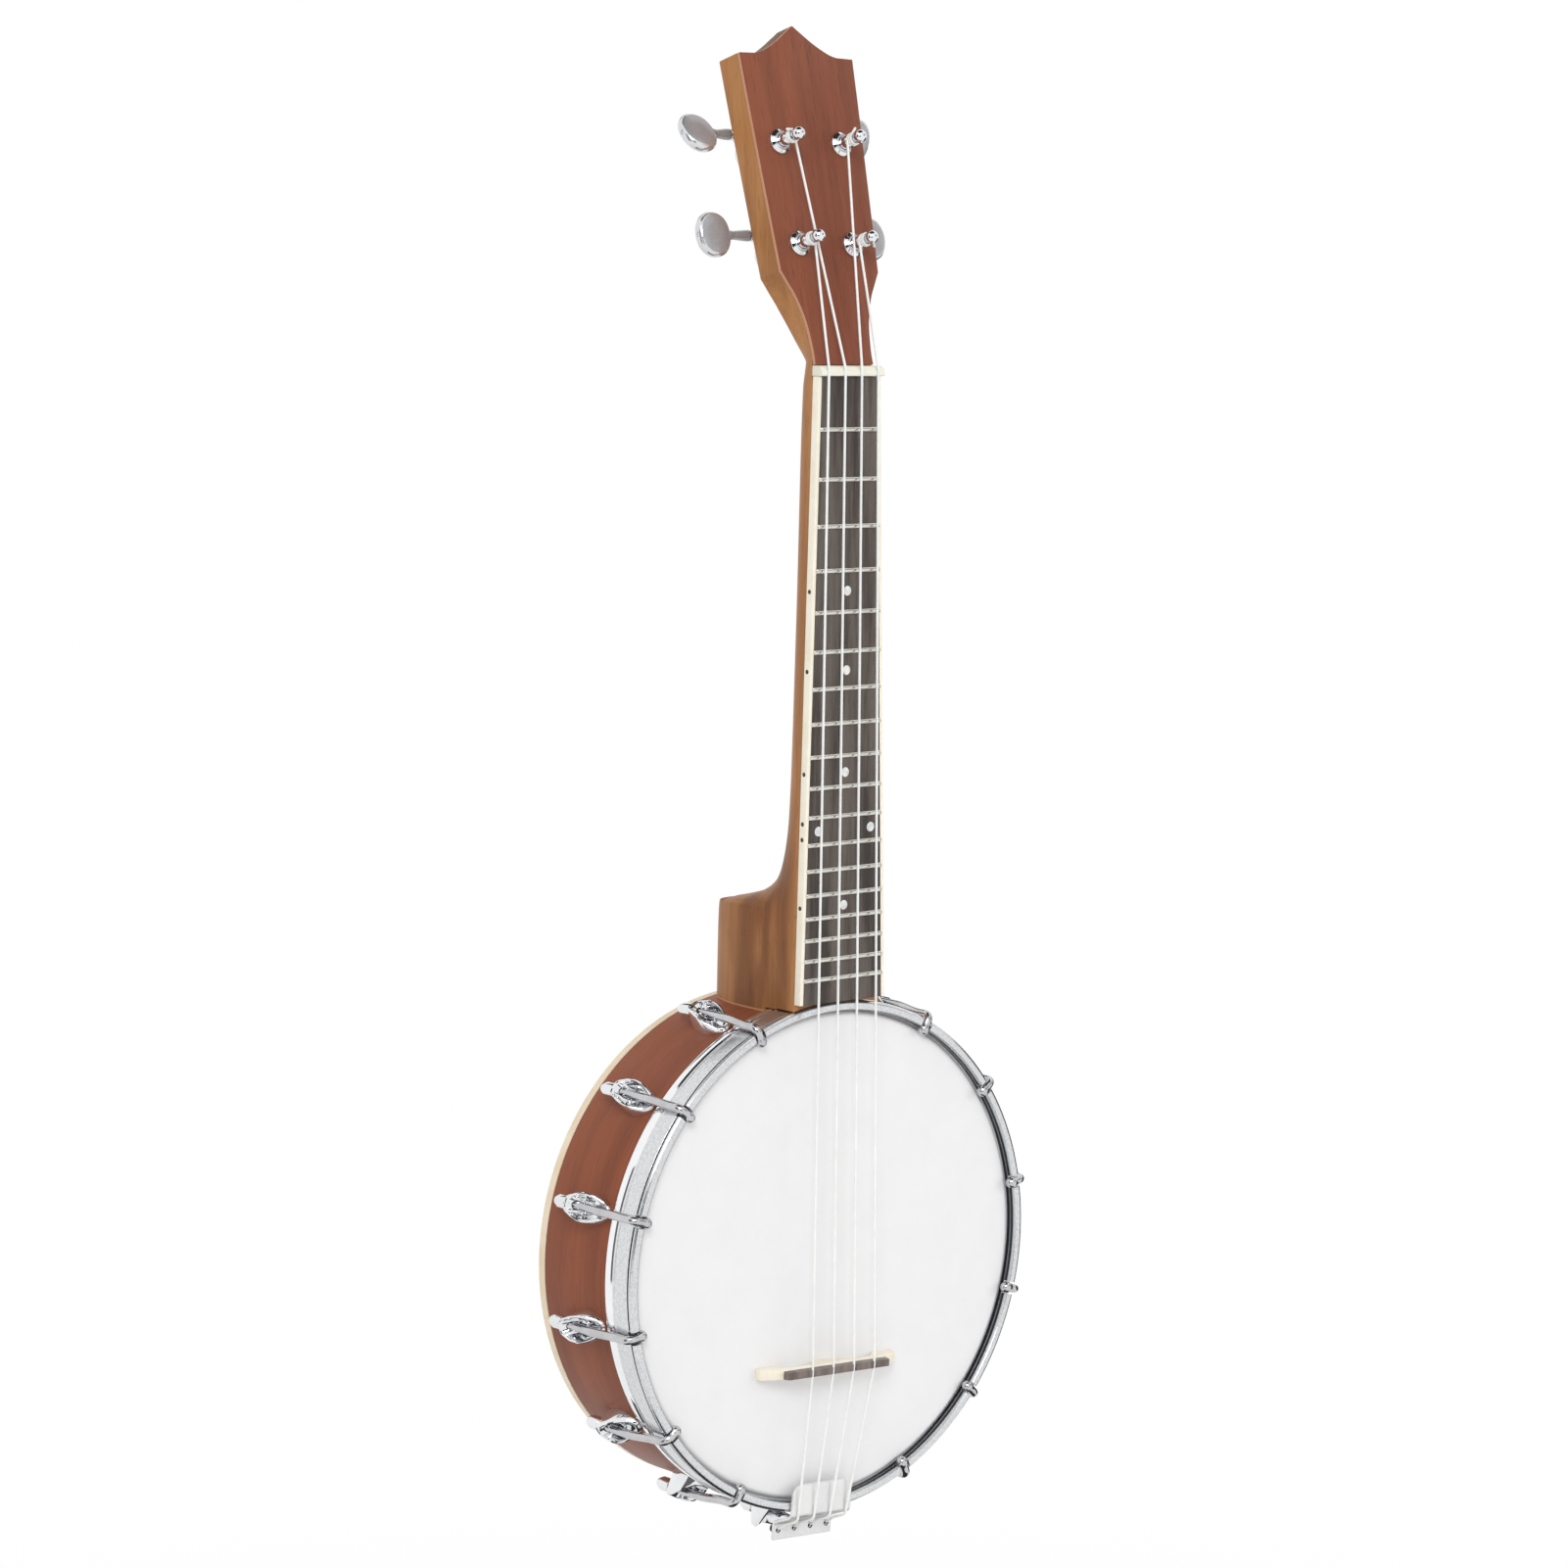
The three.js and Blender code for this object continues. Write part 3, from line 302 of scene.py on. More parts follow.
# Cuts shapes out of a piece, or joins one to it
def carve(thing, *shapes, operation="DIFFERENCE"):
    tool = makeObject("tool", joinShapes(*shapes))
    cut = thing.modifiers.new("cut", "BOOLEAN")
    cut.object, cut.operation, cut.solver = tool, operation, "EXACT"
    applyAll(thing)
    bpy.data.objects.remove(tool)


# Adds a closed object to another beside what that already holds
def addTo(thing, other):
    made = bmesh.new()
    for held in (thing, other):
        made.from_mesh(held.data)
    made.to_mesh(thing.data)
    made.free()
    bpy.data.objects.remove(other)


# Sets a piece down in the frame with its finish, and hides the CAD parts that it stands for
def setDown(thing, place, material, slot, *nodes, body="body", sharp=32):
    mesh = thing.data
    mesh.transform(place)
    mesh.materials.clear()
    mesh.materials.append(material)
    mesh.shade_smooth()
    mesh.set_sharp_from_angle(angle=math.radians(sharp))
    mesh.name = thing.name
    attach(thing, body)
    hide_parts(*nodes)


# Materials

def tint(red, green, blue):
    # screen values from 0 to 255
    def linear(value):
        value /= 255
        return value / 12.92 if value < 0.04045 else ((value + 0.055) / 1.055) ** 2.4
    return (linear(red), linear(green), linear(blue), 1.0)


def addNode(tree, kind, settings=None, sockets=None):
    made = tree.nodes.new("ShaderNode" + kind)
    for key, value in (settings or {}).items():
        setattr(made, key, value)
    for key, value in (sockets or {}).items():
        if isinstance(value, bpy.types.NodeSocket):
            tree.links.new(value, made.inputs[key])
        else:
            made.inputs[key].default_value = value
    return made


def mathNode(tree, operation, a, b=0.0, c=0.0):
    return addNode(tree, "Math", {"operation": operation}, {0: a, 1: b, 2: c}).outputs[0]


def times(tree, a, b):
    return mathNode(tree, "MULTIPLY", a, b)


def vectorNode(tree, operation, sockets):
    return addNode(tree, "VectorMath", {"operation": operation}, sockets).outputs


def stretched(tree, vector, scale):
    return vectorNode(tree, "MULTIPLY", {0: vector, 1: scale})[0]


def mixColors(tree, share, a, b, mode="MIX"):
    return addNode(tree, "Mix", {"data_type": "RGBA", "blend_type": mode}, {0: share, 6: a, 7: b}).outputs[2]


def spread(tree, value, low, high, toLow=0.0, toHigh=1.0):
    limits = {"Value": value, "From Min": low, "From Max": high, "To Min": toLow, "To Max": toHigh}
    return addNode(tree, "MapRange", {"interpolation_type": "SMOOTHSTEP"}, limits).outputs["Result"]


def noise(tree, vector, scale, detail=2.0, roughness=0.5, output="Fac"):
    sockets = {"Vector": vector, "Scale": scale, "Detail": detail, "Roughness": roughness}
    return addNode(tree, "TexNoise", {}, sockets).outputs[output]


def coordinates(tree, vector):
    return addNode(tree, "SeparateXYZ", {}, {0: vector}).outputs


# Distance from the pot's middle line
def radiusFrom(tree, place):
    squares = mathNode(tree, "ADD", times(tree, place[0], place[0]), times(tree, place[2], place[2]))
    return mathNode(tree, "SQRT", squares)


# Group of nodes: an input is a vector without a value, a colour with four numbers and else one value
def newGroup(name, inputs, outputs):
    tree = bpy.data.node_groups.new(name, "ShaderNodeTree")
    for label, value in {"Vector": None, **inputs}.items():
        kind = "Vector" if value is None else "Color" if isinstance(value, tuple) else "Float"
        socket = tree.interface.new_socket(name=label, in_out="INPUT", socket_type="NodeSocket" + kind)
        if value is not None:
            socket.default_value = value
    for label in outputs:
        kind = label if label in ("Color", "Vector") else "Float"
        tree.interface.new_socket(name=label, in_out="OUTPUT", socket_type="NodeSocket" + kind)
    return tree, tree.nodes.new("NodeGroupInput").outputs, tree.nodes.new("NodeGroupOutput").inputs


# Wood: grain runs along the third coordinate, with broad streaks, fine fibres and short pores
def makeWoodGrain():
    tree, given, out = newGroup(
        "woodGrain", {"Light": (0.5, 0.3, 0.2, 1), "Dark": (0.2, 0.1, 0.05, 1), "Streaks": 90.0,
                      "Contrast": 1.0, "Pores": 0.5, "Wander": 0.002}, ["Color", "Height"])
    slow = noise(tree, given["Vector"], 11.0, output="Color")
    off = stretched(tree, vectorNode(tree, "SUBTRACT", {0: slow, 1: (0.5, 0.5, 0.5)})[0], (1, 1, 0))
    bent = vectorNode(tree, "SCALE", {0: off, "Scale": given["Wander"]})[0]
    along = vectorNode(tree, "ADD", {0: given["Vector"], 1: bent})[0]
    streak = noise(tree, stretched(tree, along, (1, 1, 0.06)), given["Streaks"], 4.0, 0.55)
    fibre = noise(tree, stretched(tree, along, (1, 1, 0.025)), times(tree, given["Streaks"], 8.0), 3.0, 0.6)
    pore = noise(tree, stretched(tree, along, (1, 1, 0.05)), times(tree, given["Streaks"], 17.0), 1.0)
    pore = times(tree, spread(tree, pore, 0.60, 0.72), given["Pores"])
    broad = mathNode(tree, "SUBTRACT", spread(tree, streak, 0.34, 0.66), 0.5)
    fine = times(tree, mathNode(tree, "SUBTRACT", fibre, 0.5), 0.9)
    tone = mathNode(tree, "MULTIPLY_ADD", mathNode(tree, "ADD", broad, fine), given["Contrast"], 0.5)
    tone = addNode(tree, "Clamp", {}, {"Value": tone}).outputs[0]
    color = mixColors(tree, tone, given["Light"], given["Dark"])
    tree.links.new(mixColors(tree, times(tree, pore, 0.4), color, (0.02, 0.01, 0.006, 1)), out["Color"])
    tree.links.new(mathNode(tree, "SUBTRACT", times(tree, fibre, 0.4), pore), out["Height"])
    return tree


# Places round the pot as a flat strip: radius, depth and run, for grain that follows the rim's bend
def makeRingStrip():
    tree, given, out = newGroup("ringStrip", {"Radius": 0.105}, ["Vector"])
    parts = coordinates(tree, given["Vector"])
    angle = mathNode(tree, "ARCTAN2", parts[0], times(tree, parts[2], -1.0))
    run = times(tree, angle, given["Radius"])
    strip = addNode(tree, "CombineXYZ", {}, {0: radiusFrom(tree, parts), 1: parts[1], 2: run})
    tree.links.new(strip.outputs[0], out["Vector"])
    return tree


# Plated metal: cloudy polish, hair scratches and tiny pits
def makePlatingHaze():
    tree, given, out = newGroup(
        "platingHaze", {"Tone": (0.8, 0.8, 0.8, 1), "Shade": (0.6, 0.6, 0.6, 1), "Size": 70.0, "Polish": 0.06,
                        "Haze": 0.12, "Pits": 0.3}, ["Color", "Roughness", "Height"])
    cloud = noise(tree, given["Vector"], given["Size"], 4.0, 0.6)
    grit = noise(tree, given["Vector"], 1900.0, 2.0, 0.6)
    hair = noise(tree, stretched(tree, given["Vector"], (260.0, 2600.0, 1500.0)), 1.0, 2.0, 0.7)
    pit = times(tree, spread(tree, grit, 0.60, 0.75), given["Pits"])
    mark = spread(tree, hair, 0.62, 0.80)
    share = mathNode(tree, "ADD", times(tree, spread(tree, cloud, 0.35, 0.7), 0.5), pit)
    marks = mathNode(tree, "MAXIMUM", share, mark)
    rough = mathNode(tree, "MULTIPLY_ADD", given["Haze"], marks, given["Polish"])
    tree.links.new(mixColors(tree, share, given["Tone"], given["Shade"]), out["Color"])
    tree.links.new(rough, out["Roughness"])
    tree.links.new(mathNode(tree, "MULTIPLY_ADD", mark, -0.4, times(tree, pit, -1.0)), out["Height"])
    return tree


# Plastic, film and nylon: faint clouds of a second colour and a soft surface
def makeSoftMottle():
    tree, given, out = newGroup(
        "softMottle", {"Base": (0.9, 0.9, 0.9, 1), "Tinge": (0.8, 0.8, 0.8, 1), "Size": 120.0, "Gloss": 0.35,
                       "Change": 0.1}, ["Color", "Roughness", "Height"])
    cloud = spread(tree, noise(tree, given["Vector"], given["Size"], 4.0, 0.6), 0.35, 0.7)
    tree.links.new(mixColors(tree, cloud, given["Base"], given["Tinge"]), out["Color"])
    tree.links.new(mathNode(tree, "MULTIPLY_ADD", cloud, given["Change"], given["Gloss"]), out["Roughness"])
    tree.links.new(noise(tree, given["Vector"], times(tree, given["Size"], 14.0)), out["Height"])
    return tree


woodGrain = makeWoodGrain()
ringStrip = makeRingStrip()
platingHaze = makePlatingHaze()
softMottle = makeSoftMottle()


def newMaterial(name, settings):
    material = bpy.data.materials.new(name)
    material.use_nodes = True
    tree = material.node_tree
    shader = tree.nodes["Principled BSDF"]
    for key, value in settings.items():
        shader.inputs[key].default_value = value
    return material, tree, shader, addNode(tree, "TexCoord").outputs["Object"]


def useGroup(tree, group, sockets):
    return addNode(tree, "Group", {"node_tree": group}, sockets).outputs


# Material round one of the groups; its look holds the group's values, with colours as screen values
def makeSurface(name, group, look, relief, settings, strip=False, turn=0.0, extra=None):
    material, tree, shader, place = newMaterial(name, settings)
    if strip:
        place = useGroup(tree, ringStrip, {"Vector": place})["Vector"]
    elif turn:
        place = addNode(tree, "VectorRotate", {"rotation_type": "X_AXIS"},
                        {"Vector": place, "Angle": math.radians(turn)}).outputs[0]
    sockets = {key.capitalize(): tint(*value) if isinstance(value, tuple) else value
               for key, value in look.items()}
    made = useGroup(tree, group, {"Vector": place, **sockets})
    color = extra(tree, made["Color"]) if extra else made["Color"]
    tree.links.new(color, shader.inputs["Base Color"])
    if "Roughness" in made:
        tree.links.new(made["Roughness"], shader.inputs["Roughness"])
    bump = addNode(tree, "Bump", {}, {"Height": made["Height"], "Distance": relief, "Strength": 1.0})
    tree.links.new(bump.outputs[0], shader.inputs["Normal"])
    return material


varnish = {"Roughness": 0.42, "Specular IOR Level": 0.25}


def makeWood(name, relief=0.00003, settings=varnish, strip=False, turn=0.0, extra=None, **look):
    return makeSurface(name, woodGrain, look, relief, settings, strip, turn, extra)


def makePlating(name, relief=0.000004, metal=1.0, extra=None, **look):
    return makeSurface(name, platingHaze, look, relief, {"Metallic": metal}, extra=extra)


def makePlastic(name, relief=0.00001, settings={}, **look):
    return makeSurface(name, softMottle, {"change": 0.1, **look}, relief, settings)


# Where a surface faces along an axis, as a mask from 0 to 1
def facing(tree, axis, low, high):
    normal = addNode(tree, "TexCoord").outputs["Normal"]
    dot = vectorNode(tree, "DOT_PRODUCT", {0: normal, 1: axis})["Value"]
    return spread(tree, mathNode(tree, "ABSOLUTE", dot), low, high)


# Neck: darker down the heel with slow figure, a pale line at the heel's foot, dull end grain on the crown
def neckShades(tree, color):
    spot = addNode(tree, "TexCoord").outputs["Object"]
    place = coordinates(tree, spot)
    heel = times(tree, spread(tree, place[1], -0.066, -0.054), spread(tree, place[2], 0.20, 0.15))
    heel = times(tree, heel, spread(tree, place[1], -0.016, -0.036, 0.35, 1.0))
    figure = spread(tree, noise(tree, stretched(tree, spot, (1, 1, 0.3)), 62.0), 0.42, 0.6)
    heel = times(tree, heel, mathNode(tree, "MULTIPLY_ADD", figure, 0.5, 0.5))
    color = mixColors(tree, heel, color, mixColors(tree, 1.0, color, tint(188, 170, 156), "MULTIPLY"))
    foot = spread(tree, radiusFrom(tree, place), 0.1062, 0.1059)
    color = mixColors(tree, times(tree, foot, 0.6), color, tint(206, 160, 118))
    crown = times(tree, facing(tree, (0, 0.25, 0.968), 0.45, 0.8), spread(tree, place[2], 0.485, 0.49))
    return mixColors(tree, times(tree, crown, 0.8), color, tint(112, 92, 79))


# Veneer: its sawn edge is paler than its face
def veneerShades(tree, color):
    edge = mathNode(tree, "SUBTRACT", 1.0, facing(tree, (0, 0.968, -0.25), 0.55, 0.85))
    return mixColors(tree, times(tree, edge, 0.75), color, tint(214, 162, 130))


# Rim: a thin dark joint line where the binding meets the wood
def rimShades(tree, color):
    place = coordinates(tree, addNode(tree, "TexCoord").outputs["Object"])
    joint = spread(tree, place[1], -0.0052, -0.0048)
    return mixColors(tree, times(tree, joint, 0.7), color, tint(70, 40, 30))


# Hoop: painted shade, its groove and the foot of its inner wall by the film are painted dark
def hoopPaintedShade(tree, color):
    place = coordinates(tree, addNode(tree, "TexCoord").outputs["Object"])
    radius = radiusFrom(tree, place)
    groove = times(tree, spread(tree, place[1], -0.0626, -0.0624), spread(tree, place[1], -0.0610, -0.0612))
    groove = times(tree, groove, spread(tree, radius, 0.1068, 0.1065))
    foot = times(tree, spread(tree, radius, 0.1038, 0.1036), spread(tree, place[1], -0.0606, -0.0602))
    # painted shade mixed into the hoop's colour
    return mixColors(tree, times(tree, mathNode(tree, "MAXIMUM", groove, foot), 0.95), color, tint(62, 62, 68))


rimWood = makeWood("rimWood", light=(152, 84, 54), dark=(122, 65, 43), streaks=70.0, contrast=0.6, pores=0.5,
                   wander=0.006, relief=0.00004, strip=True, extra=rimShades)
backWood = makeWood("backWood", light=(150, 87, 60), dark=(114, 65, 45), streaks=70.0, contrast=0.65, pores=0.6,
                    wander=0.006, relief=0.00004)
neckWood = makeWood("neckWood", light=(189, 132, 79), dark=(154, 102, 58), streaks=110.0, contrast=0.7,
                    pores=0.7, wander=0.003, extra=neckShades)
veneerWood = makeWood("veneerWood", light=(146, 84, 60), dark=(114, 62, 44), streaks=120.0, contrast=0.48,
                      pores=0.8, wander=0.003, relief=0.00005, turn=layout["headTilt"], extra=veneerShades)
boardWood = makeWood("boardWood", light=(102, 93, 86), dark=(62, 54, 51), streaks=190.0, contrast=1.1,
                     pores=0.8, wander=0.0015, relief=0.00006,
                     settings={"Roughness": 0.48, "Specular IOR Level": 0.35})
bridgeMaple = makeWood("bridgeMaple", light=(251, 245, 230), dark=(243, 232, 210), streaks=130.0, contrast=0.6,
                       pores=0.2, wander=0.002, settings={"Roughness": 0.42})
bridgeEbony = makeWood("bridgeEbony", light=(132, 118, 112), dark=(88, 76, 71), streaks=260.0, contrast=0.8,
                       pores=0.5, wander=0.001, settings={"Roughness": 0.36})
chromePlating = makePlating("chromePlating", tone=(236, 237, 239), shade=(220, 221, 224), size=70.0,
                            polish=0.05, haze=0.08, pits=0.2)
hookPlating = makePlating("hookPlating", tone=(204, 204, 206), shade=(180, 180, 183), size=160.0, polish=0.12,
                          haze=0.14, pits=0.5, relief=0.000006)
knobPlating = makePlating("knobPlating", tone=(176, 175, 178), shade=(163, 162, 166), size=300.0, polish=0.26,
                          haze=0.12, pits=0.4, relief=0.000005, metal=0.35)
rimPlating = makePlating("rimPlating", tone=(222, 223, 225), shade=(204, 205, 208), size=200.0, polish=0.1,
                         haze=0.08, pits=0.3, metal=0.75)
# the bead's plating is brighter than the other chrome: a painted highlight
beadPlatingPaintedHighlight = makePlating("beadPlatingPaintedHighlight", tone=(246, 247, 248), shade=(236, 237, 239), size=200.0, polish=0.06,
                          haze=0.06, pits=0.1)
# the hoop's plating carries painted shade in its groove and at the foot of its inner wall
hoopPlating = makePlating("hoopPlating", tone=(226, 227, 229), shade=(190, 191, 195), size=900.0, polish=0.18,
                          haze=0.12, pits=0.9, relief=0.000012, extra=hoopPaintedShade)
sheetPlating = makePlating("sheetPlating", tone=(236, 236, 236), shade=(222, 222, 223), size=90.0, polish=0.32,
                           haze=0.14, pits=0.5, relief=0.000008, metal=0.6)
rodSteel = makePlating("rodSteel", tone=(176, 177, 179), shade=(140, 141, 143), size=70.0, polish=0.28,
                       haze=0.2, pits=0.6, relief=0.00001)
fretSilver = makePlating("fretSilver", tone=(226, 224, 216), shade=(206, 203, 195), size=200.0, polish=0.16,
                         haze=0.14, pits=0.2)
creamBinding = makePlastic("creamBinding", base=(249, 243, 227), tinge=(243, 234, 213), size=90.0, gloss=0.34)
backCream = makePlastic("backCream", base=(243, 226, 199), tinge=(234, 214, 185), size=90.0, gloss=0.34)
nutCream = makePlastic("nutCream", base=(234, 232, 218), tinge=(229, 225, 209), size=120.0, gloss=0.38)
drumFilm = makePlastic("drumFilm", base=(237, 237, 238), tinge=(235, 235, 236), size=60.0, gloss=0.5,
                       relief=0.00002)
whiteNylon = makePlastic("whiteNylon", base=(250, 250, 247), tinge=(243, 242, 238), size=160.0, gloss=0.28,
                         settings={"Subsurface Weight": 0.1})
pearlDot = makePlastic("pearlDot", base=(240, 239, 236), tinge=(204, 210, 212), size=420.0, gloss=0.18)
# dark dots on the binding; the same colour on the ball ends is painted shade in the tailpiece's holes
inkDotAndHoleShade = makePlastic("inkDotAndHoleShade", base=(48, 44, 43), tinge=(64, 58, 56), size=300.0, gloss=0.4)
print("materials ready")


# Pot

rim = {"inner": 95.0, "outer": 105.2, "front": 22.2, "back": 62.9, "edge": 0.6,
       "boltDepth": 33.9, "boltHole": 2.3, "rodDepth": 52.0, "rodHole": 3.3, "rodEndHole": 4.2,
       "drill": (90, 110)}


def makeRim():
    r = rim
    thing = makeObject("rimShell", lathe([(r["inner"], r["front"]), (r["outer"], r["front"]),
                                          (r["outer"], r["back"]), (r["inner"], r["back"])], r["edge"]))
    low, high = r["drill"]
    holes = [moved(shifted(rodAlongZ(r["boltHole"], low, high, 20), 0, r["boltDepth"], 0), stationTurn(station))
             for station in range(1, layout["stations"])]
    back = potTurned.inverted() @ shift(0, r["rodDepth"], 0)
    holes.append(moved(rodAlongZ(r["rodHole"], low, high, 24), back))
    holes.append(moved(rodAlongZ(r["rodEndHole"], -high, -low, 24), back))
    carve(thing, *holes)
    setDown(thing, potPlace, rimWood, "pot_wood", "rim")


toneRing = {"inner": 98.3, "bearing": 100.7, "outer": 101.9, "front": 7.45, "edge": 0.8,
            "beadFront": 15.5, "beadBack": 22.1, "beadBase": 104.4, "beadOut": 106.95, "beadSteps": 14}


def makeToneRing():
    t = toneRing
    middle, half = (t["beadFront"] + t["beadBack"]) / 2, (t["beadBack"] - t["beadFront"]) / 2
    bead = []
    for k in range(t["beadSteps"] + 1):
        turn = math.pi * (k / t["beadSteps"] - 0.5)
        bead.append((t["beadBase"] + (t["beadOut"] - t["beadBase"]) * math.cos(turn) ** 0.8,
                     middle + half * math.sin(turn)))
    edge = profileOf([(t["inner"], t["front"] + 1), (t["inner"], t["front"]), (t["bearing"], t["front"]),
                      (t["outer"], t["front"] + 1.4), (t["outer"], t["beadFront"])], t["edge"], 4, False)
    thing = makeObject("toneRing", turned(edge + bead + [(t["inner"], t["beadBack"])], layout["ringSides"]))
    # the bead takes the brighter plating, a painted highlight
    setDown(thing, potPlace, beadPlatingPaintedHighlight, "chrome_plating", "tone_ring")


drumHead = {"front": 6.75, "thickness": 0.4, "flat": 99.8, "collar": 102.85, "ringFront": 9.0,
            "ringOuter": 105.1, "ringInner": 102.5, "ringBack": 13.0, "rings": (30, 60, 85)}


def makeDrumHead():
    d = drumHead
    under = d["front"] + d["thickness"]
    top = profileOf([(0, d["front"]), (d["flat"] + 1.4, d["front"]), (d["collar"], d["ringFront"]),
                     (d["ringOuter"], d["ringFront"]), (d["ringOuter"], d["ringBack"]),
                     (d["ringInner"], d["ringBack"])], [0, 2.2, 0.5, 0.4, 0.4, 0], 6, False)
    low = profileOf([(d["ringInner"], d["ringFront"] + d["thickness"]), (d["flat"] + 1.2, under), (0, under)],
                    [0, 2.0, 0], 6, False)
    # rings inside the flat part keep its faces short
    inner = [(r, d["front"]) for r in d["rings"]]
    back = [(r, under) for r in reversed(d["rings"])]
    profile = [top[0]] + inner + top[1:] + low[:-1] + back + [low[-1]]
    setDown(makeObject("drumFilm", turned(profile, layout["ringSides"])), potPlace, drumFilm, "head_film",
            "drum_head")


hoop = {"inner": 103.4, "outer": 107.25, "front": 3.0, "back": 15.2, "lipBack": 8.7, "skirtInner": 105.4,
        "grooveDepth": 5.4, "grooveFloor": 105.6, "band": 107.0, "notchWidth": 5.4, "notchFloor": 6.5}


def makeHoop():
    h = hoop
    inner, outer, front, back, groove = h["inner"], h["outer"], h["front"], h["back"], h["grooveDepth"]
    thing = makeObject("tensionHoop", lathe([
        (inner, front), (outer - 1.1, front), (outer, front + 0.9), (outer, groove - 0.6),
        (h["grooveFloor"], groove - 0.45), (h["grooveFloor"], groove + 0.45), (h["band"], groove + 0.65),
        (h["band"], back - 1.5), (outer, back - 0.9), (outer, back), (h["skirtInner"], back),
        (h["skirtInner"], h["lipBack"]), (inner, h["lipBack"])],
        [0.8, 0.6, 0.5, 0.2, 0.1, 0.1, 0.2, 0.5, 0.3, 0.35, 0.3, 0.3, 0.3]))
    half = h["notchWidth"] / 2
    notch = block((-half, front - 3, inner - 3), (half, h["notchFloor"], outer + 3))
    carve(thing, *[moved(notch, stationTurn(station)) for station in range(1, layout["stations"])
                   if station != tailStation])
    setDown(thing, potPlace, hoopPlating, "hoop_plating", "tension_hoop")


back = {"front": 63.0, "face": 67.3, "bindingInner": 102.4, "seam": 0.05, "outer": 105.25, "edge": 0.9}


def makeBack():
    b = back
    inner, front, face = b["bindingInner"], b["front"], b["face"]
    panel = makeObject("backPanel", lathe([(0, front), (inner - b["seam"], front), (inner - b["seam"], face),
                                           (0, face)], [0, 0.1, 0.25, 0], steps=3))
    setDown(panel, potPlace, backWood, "pot_wood", "back_panel")
    ring = makeObject("backBinding", lathe([(inner, front), (b["outer"], front), (b["outer"], face),
                                            (inner, face)], [0.1, 0.15, b["edge"], 0.15]))
    setDown(ring, potPlace, backCream, "cream_binding", "back_binding")


for make in (makeRim, makeToneRing, makeDrumHead, makeHoop, makeBack):
    make()
print("pot rings ready")


# Hooks and shoes

hook = {"rod": 1.82, "axis": 111.0, "lean": 1.6, "leanFrom": 26.0, "leanTo": 10.0, "pass": 3.75, "bend": 3.0,
        "leanSteps": 6, "bendSteps": 8, "clawEnd": 101.6, "clawDrop": 0.2,
        "clawRuns": [(105.4, 1.82), (104.5, 2.0), (103.8, 2.35), (103.2, 2.5)],
        "knob": 2.5, "nutFront": 43.9, "nutRadius": 3.0, "nutBack": 50.3, "ball": 2.2, "tip": 53.0}


def nutShape():
    h = hook
    front, back, radius, ball = h["nutFront"], h["nutBack"], h["nutRadius"], h["ball"]
    return turned([(0, h["tip"])] + domeOf(ball, h["tip"], -1, (18, 36, 54, 72, 88))
                  + [(ball * 0.97, back + 0.1), (radius - 0.7, back - 0.05), (radius - 0.2, back - 0.4),
                     (radius, back - 1.0), (radius, front + 0.5), (radius - 0.3, front + 0.1),
                     (radius - 0.7, front), (1.9, front), (1.9, back - 0.5), (0, back - 0.5)], 40)


def makeHook(station, number):
    h = hook
    # in front of its shoe the rod leans in to the hoop, and then bends over it
    points = [(0, h["nutBack"] - 0.6, h["axis"])]
    for k in range(h["leanSteps"] + 1):
        share = k / h["leanSteps"]
        points.append((0, lerp(h["leanFrom"], h["leanTo"], share), h["axis"] - h["lean"] * ease(share)))
    for k in range(h["bendSteps"] + 1):
        turn = math.pi / 2 * k / h["bendSteps"]
        points.append((0, h["pass"] + h["bend"] * (1 - math.sin(turn)),
                       h["axis"] - h["lean"] - h["bend"] * (1 - math.cos(turn))))
    radii = [h["rod"]] * len(points)
    for run, width in h["clawRuns"]:
        points.append((0, h["pass"] + h["clawDrop"] * (105.8 - run) / 4, run))
        radii.append(width)
    points.append((0, h["pass"] + h["clawDrop"], h["clawEnd"] + 1.1))
    radii.append(h["knob"])
    rodShape = tube(points, radii, 24, (False, True))
    nut = shifted(nutShape(), 0, 0, h["axis"])
    for name, shape, finish in (("tensionHook", rodShape, hookPlating), ("hookNut", nut, chromePlating)):
        setDown(makeObject("%s%02d" % (name, number), shape), potPlace @ stationTurn(station), finish,
                "chrome_plating", "tension_hook_%02d" % number)


shoe = {
    "front": 24.4, "length": 18.9, "halfWidth": 6.5, "seat": 105.28, "top": 114.7, "floor": 107.9,
    "runs": [0, 0.22, 0.48, 0.8, 1], "widths": [0.32, 0.82, 1, 0.74, 0.42],
    # how high the cup's wall stands along the shoe
    "lip": [(0, 0.16), (0.12, 0.24), (0.3, 0.55), (0.5, 0.86), (0.68, 1), (1, 1)],
    # share of the width, share of the length, height, and how far the loop is flat
    "levels": [(1.0, 1.0, 0.0, 0.0), (1.0, 1.0, 0.12, 0.1), (0.985, 0.99, 0.45, 0.5), (0.955, 0.972, 0.82, 0.9),
               (0.925, 0.95, 0.95, 1), (0.87, 0.915, 1.0, 1), (0.82, 0.875, 1.0, 1), (0.765, 0.835, 0.965, 1),
               (0.735, 0.81, 0.88, 1), (0.70, 0.785, 0.55, 1), (0.665, 0.75, None, 1), (0.60, 0.70, None, 1),
               (0.3, 0.35, None, 1)],
    "solidFrom": 0.66, "solidTo": 0.8, "rodHole": 2.05, "bolt": 2.1, "head": 2.9, "nut": 3.8, "nutHeight": 2.5,
    "nutTop": 94.95,
}


def shoeOutline():
    side = [(shoe["halfWidth"] * w, shoe["front"] + shoe["length"] * r)
            for r, w in zip(shoe["runs"], shoe["widths"])]
    ring = [Vector(p) for p in mirrored(side)]
    count, made = len(ring), []
    for k in range(count):
        made += curveThrough([ring[k - 1], ring[k], ring[(k + 1) % count], ring[(k + 2) % count]], 8)[8:16]
    return made


